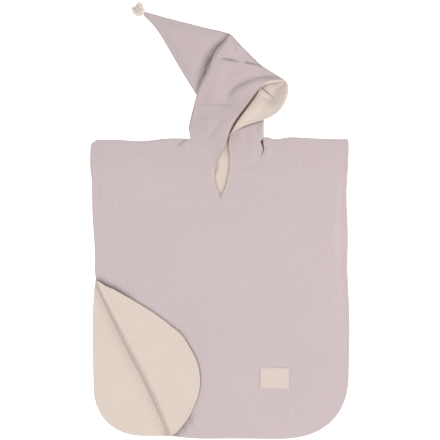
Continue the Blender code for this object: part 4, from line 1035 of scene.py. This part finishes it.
def lip_shade(cloth):
    """Painted shade on the side of the rolled near rim that looks into the open fold."""
    gap, where, side = distance_to(cloth.points, near_rim(hood_edges(), 160))
    _, depth, _ = read_table(RIM_FOLD, where)
    return LIP_SHADE * rises(-gap * side, *LIP_START) * rises(depth, 0, FULL_LIP)


def fold_shade(cloth):
    """A band of painted shade along the fold, and the muslin seam at the flap's edge, darkened as painted
    shadow.
    """
    points = cloth.points
    on_flap = (points[:, 2] > FRONT_LEVEL + ON_FLAP) * (points[:, 1] < FLAP_TOP_Y)
    across, half = fold_side(points)
    band = FOLD_DARK * np.exp(-((across - half) / half) ** 2) * on_flap
    edge = HEM_SHADE * fades(cloth.rim, *HEM_LINE) * on_flap
    return np.maximum(band, edge)


def gathers_shade(cloth):
    """Painted shade on the gathered strip of the front just above the folded corner's upper edge, at that
    corner's foot, in the small pleats at the neck, and as a dark spot at the slit's sewn foot."""
    fold, across, _ = fold_frame()
    table = curve(FLAP_REACH, 90)
    gap, where, _ = distance_to(cloth.points, FOLD_TOP + table[:, :1] * fold + table[:, 1:] * across)
    first, last, reach = GATHERED
    share = np.clip((where - first) / (last - first), 0, 1)
    strip = np.sin(math.pi * share ** 0.6) ** 0.7 * fades(gap, 0, reach) * GATHER_SHADE
    foot = rises(where, *FOOT_COMES) * fades(gap, 0, FOOT_REACH)
    gap, where, _ = distance_to(cloth.points, np.array(SHOULDER_PLEATS))
    pleats = PLEAT_SHADE * fades(gap, 0, PLEAT_REACH) * smooth((1 - np.abs(1 - 2 * where)) / 0.3 + 0.4)
    gap = np.linalg.norm(cloth.points[:, :2] - np.array(SLIT_FOOT), axis=1)
    slit_foot_shade = STITCH_SHADE * np.exp(-(gap / STITCH_HALF) ** 2)
    return np.maximum(np.maximum(strip, foot), np.maximum(pleats, slit_foot_shade))


def tuck_shade(cloth):
    """Painted shade on the tip's pleated strip beside the tuck, strongest in its middle, and in the hood's
    creases.
    """
    points = cloth.points
    gap, where, side = distance_to(points, curve(TUCK, 60))
    gap = gap * side
    middle = np.sin(math.pi * np.clip(where, 0.02, 0.98))
    width = TUCK_WIDTH[0] + TUCK_WIDTH[1] * middle ** 0.8
    tuck = (TUCK_SHADE[0] + TUCK_SHADE[1] * middle) * (0.4 + 0.6 * rises(gap, *TUCK_FULL))
    tuck = tuck * rises(gap, *TUCK_START) * fades(gap, 0, width)
    total = tuck * (points[:, 2] < FRONT_LEVEL + ON_HOOD)
    for line, half, strength in CREASE_SHADES:
        gap, where, _ = distance_to(points, curve(line, 20))
        fade = np.sin(math.pi * np.clip(0.06 + 0.88 * where, 0, 1)) ** 0.7
        total = np.maximum(total, strength * fade * np.exp(-(gap / half) ** 2))
    return total


def under_rim(cloth):
    """The strip of the neck in the shadow of the mouth's lower edge, which lies on it."""
    points = cloth.points
    gap, where, side = distance_to(points, rim_curve(hood_edges(), 80))
    along = CAST_SHADE * rises(where, *CAST_COMES) * fades(where, *CAST_GOES)
    return along * fades(-gap * side, *CAST_END)


def slit_shade(cloth):
    """Painted shade on the back's lining: under the open place in the seam beside the neck, and
    close inside the slit's left edge."""
    points = cloth.points
    gap, _, _ = distance_to(points, curve(NECK_LEFT[-2:] + SLIT_LEFT[1:], 40))
    top, foot, depth = SLIT_SHADE
    middle, half = SLIT_BAND
    band = depth * np.exp(-((gap - middle) / half) ** 2)
    band = band * rises(points[:, 1], foot, SLIT_EASE) * smooth((top - points[:, 1]) / SLIT_EASE)
    gap, _, _ = distance_to(points, np.array(NECK_LENS))
    return np.maximum(fades(gap, *LENS_END), band)


# ---- label and tuft ---------------------------------------------------------------------
STITCH_TAPER = (0.5, 0.95, 1.0, 0.95, 0.5)         # radius along a stitch, in shares of its largest
STRAND_TAPER = (1.0, 1.1, 1.1, 1.0, 0.8, 0.35)     # the same along a strand
STRAND_START = 0.35        # where a strand starts, as a share of the way from the tuft's middle to its end
STRAND_LENGTHS = (0.80, 1.0)   # the shortest and the longest strand, in shares of the tuft's outline
STRAND_REST, STRAND_SETTLE = 0.9, 0.02   # a strand's lowest level, and how little lower ones differ there


def add_label(finish, thread):
    """A bare woven patch with rounded corners: rings scaled from its outline make its soft face
    and edge, and a row of stitches runs round just inside the edge."""
    cosine, sine = math.cos(LABEL_TURN), math.sin(LABEL_TURN)
    turn = np.array(((cosine, -sine), (sine, cosine)))
    half = np.array(LABEL_SIZE) / 2
    angles = np.linspace(0, 2 * math.pi, 160, endpoint=False)
    low = FRONT_LEVEL + HALF + GAP
    rows = []
    for inset, level in LABEL_RINGS:
        size = half - inset
        corner = max(LABEL_CORNER - inset, 0.2) / size
        ring = np.stack((np.cos(angles), np.sin(angles)), axis=1)
        ring /= np.max(np.abs(ring), axis=1, keepdims=True)
        limit = 1 - corner
        excess = np.maximum(np.abs(ring) - limit, 0) / corner
        pull = np.linalg.norm(excess, axis=1, keepdims=True)
        ring = np.where(pull > 1, np.sign(ring) * (limit + excess / pull * corner), ring)
        rows.append(raised(ring * size @ turn.T + LABEL_CENTRE, low + level * LABEL_THICKNESS))
    grid = np.stack(rows)
    k = np.arange(grid.shape[0] * len(angles)).reshape(-1, len(angles))
    following = np.roll(k, -1, axis=1)
    faces = np.stack((k[:-1], following[:-1], following[1:], k[1:]), axis=-1).reshape(-1, 4).tolist()
    faces += [k[-1].tolist(), k[0][::-1].tolist()]
    label = add_piece("label_patch", grid.reshape(-1, 3) * MM, faces, finish)

    verts, faces = [], []
    sx, sy = half - STITCH_INSET
    t = np.linspace(-0.5, 0.5, 5)
    foot, crown = STITCH_LEVEL
    arch = low + foot + crown * (1 - (2 * t) ** 2)
    for centre, along, run in (((0, sy), (1, 0), sx), ((0, -sy), (1, 0), sx), ((sx, 0), (0, 1), sy),
                               ((-sx, 0), (0, 1), sy)):
        for spot in np.arange(-run + STITCH_PITCH / 2, run - STITCH_LENGTH / 2, STITCH_PITCH):
            middle = np.array(centre) + np.array(along) * spot
            line = raised(middle + np.outer(t * STITCH_LENGTH, along), arch)
            line[:, :2] = line[:, :2] @ turn.T + LABEL_CENTRE
            add_tube(verts, faces, line, STITCH_RADIUS * np.array(STITCH_TAPER), 6)
    stitches = add_piece("label_stitches", np.concatenate(verts) * MM, faces, thread)
    return label, stitches


def add_tube(verts, faces, line, radii, sides):
    """A closed tube round a line: rings square to its direction, with a pole face at each end."""
    along = np.gradient(line, axis=0)
    along /= np.linalg.norm(along, axis=1, keepdims=True)
    up = np.where(np.abs(along[:, 2:]) > 0.9, (1.0, 0.0, 0.0), (0.0, 0.0, 1.0))
    side = np.cross(along, up)
    side /= np.linalg.norm(side, axis=1, keepdims=True)
    top = np.cross(side, along)
    angles = np.linspace(0, 2 * math.pi, sides, endpoint=False)
    ring = side[:, None] * np.cos(angles)[None, :, None] + top[:, None] * np.sin(angles)[None, :, None]
    points = (line[:, None] + ring * np.asarray(radii)[:, None, None]).reshape(-1, 3)
    start = sum(len(part) for part in verts)
    k = start + np.arange(len(points)).reshape(-1, sides)
    following = np.roll(k, -1, axis=1)
    verts.append(points)
    faces += np.stack((k[:-1], k[1:], following[1:], following[:-1]), axis=-1).reshape(-1, 4).tolist()
    faces += [k[0].tolist(), k[-1][::-1].tolist()]


def add_tuft(finish):
    """A yarn tuft: strands that leave its middle in all directions, evenly spread over a sphere
    by the golden angle, each as long as the tuft's outline that way, tapered and a little bent."""
    rng = np.random.default_rng(7)
    verts, faces = [], []
    order = np.arange(STRANDS) + 0.5
    rise = 1 - 2 * order / STRANDS
    turn = math.pi * (1 + 5 ** 0.5) * order
    reach = read_table(TUFT_REACH, np.degrees(turn) % 360)[0]
    level = np.sqrt(1 - rise ** 2)
    ends = np.stack((reach * level * np.cos(turn), reach * level * np.sin(turn), TUFT_HEIGHT * rise), axis=1)
    ends *= rng.uniform(*STRAND_LENGTHS, STRANDS)[:, None]
    bends = rng.normal(0, STRAND_BEND, (STRANDS, 3))
    t = np.linspace(0, 1, 6)[:, None]
    for end, bend in zip(ends, bends):
        line = TUFT_CENTRE + end * (STRAND_START + (1 - STRAND_START) * t) + bend * 4 * t * (1 - t)
        line[:, 2] = np.maximum(line[:, 2], STRAND_REST + STRAND_SETTLE * (line[:, 2] + 20))
        add_tube(verts, faces, line, STRAND_RADIUS * np.array(STRAND_TAPER), 4)
    return add_piece("tuft_yarn", np.concatenate(verts) * MM, faces, finish, 80)


# ---- materials --------------------------------------------------------------------------
CLOTH_GLOSS = 0.25         # specular level of matt fibres, half that of a smooth surface
# Spacings of the patterns, mm
DYE_DRIFT = 200.0          # slow changes of the muslin's dye
CRINKLE = 4.762            # crinkles between the tacking points, longer down the cloth
GAUZE_THREADS = 1.9635     # real threads are 0.5 apart: drawn four times as coarse, so that they can show
GATHER_RIPPLES = 3.696
TERRY_DRIFT = 71.43
LOOPS = 2.381              # real loops are 1.5 apart: drawn a little coarser
CLUMPS = 6.667
TAPE_THREADS = 1.428       # real threads are 0.4 apart: drawn coarser too
TAPE_DRIFT = 16.667
STRAND_PATCHES = 3.125


def grains(spacing):
    """Scale of a noise or cell pattern whose grains are that many mm apart."""
    return 1 / (spacing * MM)


def waves(spacing):
    """Scale of a wave pattern whose crests are that many mm apart: pi / 10 m at a scale of 1."""
    return math.pi / 10 / (spacing * MM)


def linear(code):
    """A hex sRGB colour as linear light."""
    channels = [int(code[i:i + 2], 16) / 255 for i in (0, 2, 4)]
    return tuple(c / 12.92 if c <= 0.04045 else ((c + 0.055) / 1.055) ** 2.4 for c in channels) + (1.0,)


def main_output(node):
    """The first output of a node that its settings leave in use."""
    return next(socket for socket in node.outputs if socket.enabled)


def add_node(tree, kind, inputs=(), **settings):
    """A node with its settings. An input is set to a value, or joined to a socket or to the main
    output of another node."""
    node = tree.nodes.new(kind)
    for name, value in settings.items():
        setattr(node, name, value)
    for name, value in dict(inputs).items():
        if isinstance(value, bpy.types.Node):
            value = main_output(value)
        if isinstance(value, bpy.types.NodeSocket):
            tree.links.new(value, node.inputs[name])
        else:
            node.inputs[name].default_value = value
    return node


def new_finish(name, roughness, sheen):
    """A Principled surface with its roughness and sheen, and its tree and shader to add to."""
    finish = bpy.data.materials.new(name)
    finish.use_nodes = True
    shader = finish.node_tree.nodes["Principled BSDF"]
    shader.inputs["Roughness"].default_value = roughness
    shader.inputs["Sheen Weight"].default_value = sheen
    shader.inputs["Specular IOR Level"].default_value = CLOTH_GLOSS
    return finish, finish.node_tree, shader


def marked(tree, colour, mark, strength, other):
    """The colour, turned towards another one where the cloth carries a mark."""
    value = add_node(tree, "ShaderNodeAttribute", attribute_name=mark).outputs["Fac"]
    share = add_node(tree, "ShaderNodeMath", {0: value, 1: strength}, operation="MULTIPLY")
    return add_node(tree, "ShaderNodeMix", {"Factor": share, "A": colour, "B": linear(other)},
                    data_type="RGBA")


def weave_of(tree, place, spacing, how, **wobble):
    """Two sets of threads across each other, as waves along X and along Y, added or multiplied."""
    sets = [add_node(tree, "ShaderNodeTexWave", {"Vector": place, "Scale": waves(spacing), **wobble},
                     bands_direction=way).outputs["Fac"] for way in "XY"]
    return add_node(tree, "ShaderNodeMath", dict(enumerate(sets)), operation=how)


def finish_off(tree, shader, colour, height, strength, distance):
    """Colour and relief joined to the shader."""
    bump = add_node(tree, "ShaderNodeBump", {"Height": height, "Strength": strength, "Distance": distance})
    tree.links.new(main_output(colour), shader.inputs["Base Color"])
    tree.links.new(main_output(bump), shader.inputs["Normal"])


def muslin(name, turn=0.0):
    """Cotton double gauze, stonewashed: matt and crinkled between its tacking points, with a loose
    weave, its colour painted a little darker in the crinkles' hollows as shade. The hood is painted a
    little darker as shade, which comes in gradually over the neck. It lets the lining's colour through
    where it is marked blush, and carries painted shade, broken into ripples, where it is marked shade."""
    finish, tree, shader = new_finish(name, 0.92, 0.12)
    place = add_node(tree, "ShaderNodeTexCoord").outputs["Object"]
    height = add_node(tree, "ShaderNodeSeparateXYZ", {0: place}).outputs["Y"]
    # painted shade: the hood's colour is a little darker, coming in over the neck from y 0.09 to 0.24 m
    hood = add_node(tree, "ShaderNodeMapRange", {"Value": height, "From Min": 0.09, "From Max": 0.24})
    place = add_node(tree, "ShaderNodeMapping", {"Vector": place, "Rotation": (0.0, 0.0, turn)})
    drift = add_node(tree, "ShaderNodeTexNoise", {"Vector": place, "Scale": grains(DYE_DRIFT), "Detail": 2.0,
                                                  "Roughness": 0.5})
    body = add_node(tree, "ShaderNodeMix", {"Factor": drift, "A": linear("A99C9D"), "B": linear("AFA1A2")},
                    data_type="RGBA")
    tone = add_node(tree, "ShaderNodeMix", {"Factor": hood, "A": body, "B": linear("A89A9B")},
                    data_type="RGBA")
    stretched = add_node(tree, "ShaderNodeMapping", {"Vector": place, "Scale": (1.0, 0.42, 1.0)})
    crinkle = add_node(tree, "ShaderNodeTexNoise", {"Vector": stretched, "Scale": grains(CRINKLE),
                                                    "Detail": 3.0, "Roughness": 0.55, "Distortion": 0.4})
    weave = weave_of(tree, place, GAUZE_THREADS, "ADD",
                     **{"Distortion": 1.2, "Detail": 1.0, "Detail Scale": 1.5})
    fine = add_node(tree, "ShaderNodeMath", {0: weave, 1: 0.16}, operation="MULTIPLY")
    relief = add_node(tree, "ShaderNodeMath", {0: crinkle, 1: fine}, operation="ADD")
    # painted shade in the crinkles: the colour is darker where their relief is low
    shade = add_node(tree, "ShaderNodeMapRange", {"Value": crinkle, "From Min": 0.25, "From Max": 0.75,
                                                  "To Min": 0.965, "To Max": 1.02})
    ripple = add_node(tree, "ShaderNodeTexWave", {"Vector": place, "Scale": waves(GATHER_RIPPLES),
                                                  "Distortion": 2.5, "Detail": 2.0, "Detail Scale": 2.0},
                      bands_direction="X")
    uneven = add_node(tree, "ShaderNodeMapRange", {"Value": ripple.outputs["Fac"], "To Min": 0.3,
                                                   "To Max": 0.75})
    sheer = marked(tree, tone, "blush", 0.6, "B8A898")
    # painted shade where marked shade, broken into ripples
    shadowed = marked(tree, sheer, "shade", uneven, "4E4046")
    colour = add_node(tree, "ShaderNodeVectorMath", {0: shadowed, 1: shade}, operation="MULTIPLY")
    finish_off(tree, shader, colour, relief, 0.55, 0.0012)
    return finish


def terry(name):
    """Cotton terry: short loops that break the light into a soft matt grain, in loose clumps from
    washing; its colour is painted a little darker between the loops, as shade. It is darker, nearer the
    muslin's colour, at a rolled edge, and darkest where it is marked shade, which is painted shade."""
    finish, tree, shader = new_finish(name, 0.95, 0.2)
    place = add_node(tree, "ShaderNodeTexCoord").outputs["Object"]
    drift = add_node(tree, "ShaderNodeTexNoise", {"Vector": place, "Scale": grains(TERRY_DRIFT),
                                                  "Detail": 3.0, "Roughness": 0.55})
    tone = add_node(tree, "ShaderNodeMix", {"Factor": drift, "A": linear("B8ABA2"), "B": linear("BFB2A9")},
                    data_type="RGBA")
    loops = add_node(tree, "ShaderNodeTexVoronoi", {"Vector": place, "Scale": grains(LOOPS),
                                                    "Randomness": 0.9}, feature="SMOOTH_F1")
    clumps = add_node(tree, "ShaderNodeTexNoise", {"Vector": place, "Scale": grains(CLUMPS), "Detail": 2.0,
                                                   "Roughness": 0.6})
    lowered = add_node(tree, "ShaderNodeMath", {0: loops, 1: -0.8}, operation="MULTIPLY")
    relief = add_node(tree, "ShaderNodeMath", {0: clumps, 1: lowered}, operation="ADD")
    # painted shade between the loops: the colour is darker where their relief is low
    shade = add_node(tree, "ShaderNodeMapRange", {"Value": loops, "From Min": 0.1, "From Max": 0.7,
                                                  "To Min": 1.02, "To Max": 0.94})
    edged = marked(tree, tone, "rolled", 1.0, "AA9C96")
    # painted shade: where marked shade, the colour turns towards that of deep shadow
    painted_shade = marked(tree, edged, "shade", 1.0, "5E3A31")
    colour = add_node(tree, "ShaderNodeVectorMath", {0: painted_shade, 1: shade}, operation="MULTIPLY")
    finish_off(tree, shader, colour, relief, 0.6, 0.0012)
    return finish


def woven_tape(name):
    """Woven cotton tape: a tight plain weave, a little smoother than the cloth it is sewn to."""
    finish, tree, shader = new_finish(name, 0.8, 0.1)
    place = add_node(tree, "ShaderNodeTexCoord").outputs["Object"]
    weave = weave_of(tree, place, TAPE_THREADS, "MULTIPLY", Distortion=0.6)
    drift = add_node(tree, "ShaderNodeTexNoise", {"Vector": place, "Scale": grains(TAPE_DRIFT),
                                                  "Detail": 2.0})
    tone = add_node(tree, "ShaderNodeMix", {"Factor": drift, "A": linear("B6A9A2"), "B": linear("BBAEA7")},
                    data_type="RGBA")
    finish_off(tree, shader, tone, weave, 0.35, 0.0005)
    return finish


def yarn(name, light, dark):
    """Cotton yarn: soft and matt, painted darker in patches where its relief is low, as shade between its
    strands.
    """
    finish, tree, shader = new_finish(name, 0.9, 0.25)
    place = add_node(tree, "ShaderNodeTexCoord").outputs["Object"]
    drift = add_node(tree, "ShaderNodeTexNoise", {"Vector": place, "Scale": grains(STRAND_PATCHES),
                                                  "Detail": 2.0})
    tone = add_node(tree, "ShaderNodeMix", {"Factor": drift, "A": linear(dark), "B": linear(light)},
                    data_type="RGBA")
    finish_off(tree, shader, tone, drift, 0.4, 0.0004)
    return finish


# ---- surroundings, m ----------------------------------------------------------------------
FLOOR_REACH, FLOOR_DROP = 12.0, 0.0002   # half side of the floor, and how far it lies under the cloth
FLOOR_GLOW = 0.6           # light the floor gives off, which keeps it white round the cloth's shadow
VIEW_WIDTH = 1.0208        # width of what the camera sees on the plane at VIEW_LEVEL
VIEW_LEVEL = 0.0057
VIEW_Y = 0.0002            # y of the view's middle
LENS, SENSOR = 100.0, 36.0   # mm
WORLD_LIGHT = 0.93
# (name, place, side of the softbox, W)
LIGHTS = (("key", (-2.7, -3.7, 4.4), 1.8, 170.0), ("fill", (4.0, 0.4, 2.6), 3.0, 150.0))


def add_floor():
    """A plain matt floor, wide enough to fill every view, lit a little from below."""
    finish, _, shader = new_finish("floor_paint", 1.0, 0.0)
    shader.inputs["Base Color"].default_value = linear("F4F4F4")
    shader.inputs["Specular IOR Level"].default_value = 0.0
    shader.inputs["Emission Color"].default_value = (1.0, 1.0, 1.0, 1.0)
    shader.inputs["Emission Strength"].default_value = FLOOR_GLOW
    mesh = bpy.data.meshes.new("floor")
    corners = [(x * FLOOR_REACH, y * FLOOR_REACH, 0) for x, y in ((-1, -1), (1, -1), (1, 1), (-1, 1))]
    mesh.from_pydata(corners, [], [(0, 1, 2, 3)])
    mesh.materials.append(finish)
    floor = bpy.data.objects.new("floor", mesh)
    floor.location.z = -FLOOR_DROP
    bpy.context.scene.collection.objects.link(floor)


def add_light(name, place, size, power):
    """A square softbox that points at the garment's middle."""
    lamp = bpy.data.lights.new(name, "AREA")
    lamp.energy = power
    lamp.size = size
    light = bpy.data.objects.new(name, lamp)
    light.location = place
    light.rotation_euler = (-light.location).to_track_quat("-Z", "Y").to_euler()
    bpy.context.scene.collection.objects.link(light)


def set_camera_and_light():
    """A camera straight above, a softbox from the lower left and a broad weak one from the
    right, and even light all round."""
    scene = bpy.context.scene
    cam = bpy.data.cameras.new("camera")
    cam.lens = LENS
    cam.sensor_width = SENSOR
    camera = bpy.data.objects.new("camera", cam)
    camera.location = (0.0, VIEW_Y, VIEW_WIDTH * LENS / SENSOR + VIEW_LEVEL)
    scene.collection.objects.link(camera)
    scene.camera = camera
    world = bpy.data.worlds.new("studio")
    world.use_nodes = True
    background = world.node_tree.nodes["Background"]
    background.inputs["Color"].default_value = (1.0, 1.0, 1.0, 1.0)
    background.inputs["Strength"].default_value = WORLD_LIGHT
    scene.world = world
    for light in LIGHTS:
        add_light(*light)
    scene.view_settings.view_transform = "Standard"


# ---- the garment --------------------------------------------------------------------------
# (panel, ply, what it rests on, marks that its finish reads)
PLIES = (
    ("back", "shell", "floor", {}),
    ("back", "lining", "back_muslin", {"shade": slit_shade}),
    ("front", "lining", "back_terry", {"rolled": rolled_edge, "shade": fold_shade}),
    ("front", "shell", "front_terry", {"blush": blush, "shade": gathers_shade}),
    ("hood_left", "shell", "floor", {}),
    ("hood_left", "lining", "hood_left_muslin", {"shade": rim_shade}),
    ("hood_neck", "shell", "floor", {"blush": blush, "shade": under_rim}),
    ("hood_neck", "lining", "hood_neck_muslin", {"rolled": rolled_edge}),
    ("hood_right", "lining", "hood_left_terry", {"rolled": rolled_edge, "shade": lip_shade}),
    ("hood_right", "shell", "hood_right_terry", {"blush": blush, "shade": tuck_shade}),
)
RIM_BULK = {("hood_left", "lining"): 0.8}   # where one ply is thicker over its seam allowance than others


def dress(panel, ply, cloth, finish, marks):
    """One ply of a panel, in the place of its plain solid."""
    kind, side = ("muslin", 1) if ply == "shell" else ("terry", -1)
    bulk = RIM_BULK.get((panel, ply), HEM_BULK)
    piece = cloth.wall(f"{panel}_{kind}", side, finish, bulk, marks.items())
    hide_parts(f"{panel}_{ply}")


set_camera_and_light()
add_floor()
body_muslin = muslin("crinkled_muslin")
hood_muslin = muslin("crinkled_muslin_hood", math.radians(38))
terry_lining = terry("terry_lining")
label, stitches = add_label(woven_tape("woven_cotton_tape"), yarn("sewing_thread", "C8B6AB", "BEACA1"))
tuft = add_tuft(yarn("tuft_cotton_yarn", "DFD3CC", "D2C6BF"))
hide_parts("label")
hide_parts("tuft")

cloths = {"front": front_cloth(), "back": back_cloth(), "hood_neck": hood_neck_cloth(),
          "hood_left": hood_left_cloth(), "hood_right": hood_right_cloth()}
for panel, ply, under, marks in PLIES:
    shell, lining = cloths[panel]
    muslin_here = body_muslin if panel in ("front", "back") else hood_muslin
    cloth, finish = (shell, muslin_here) if ply == "shell" else (lining, terry_lining)
    dress(panel, ply, cloth, finish, marks)
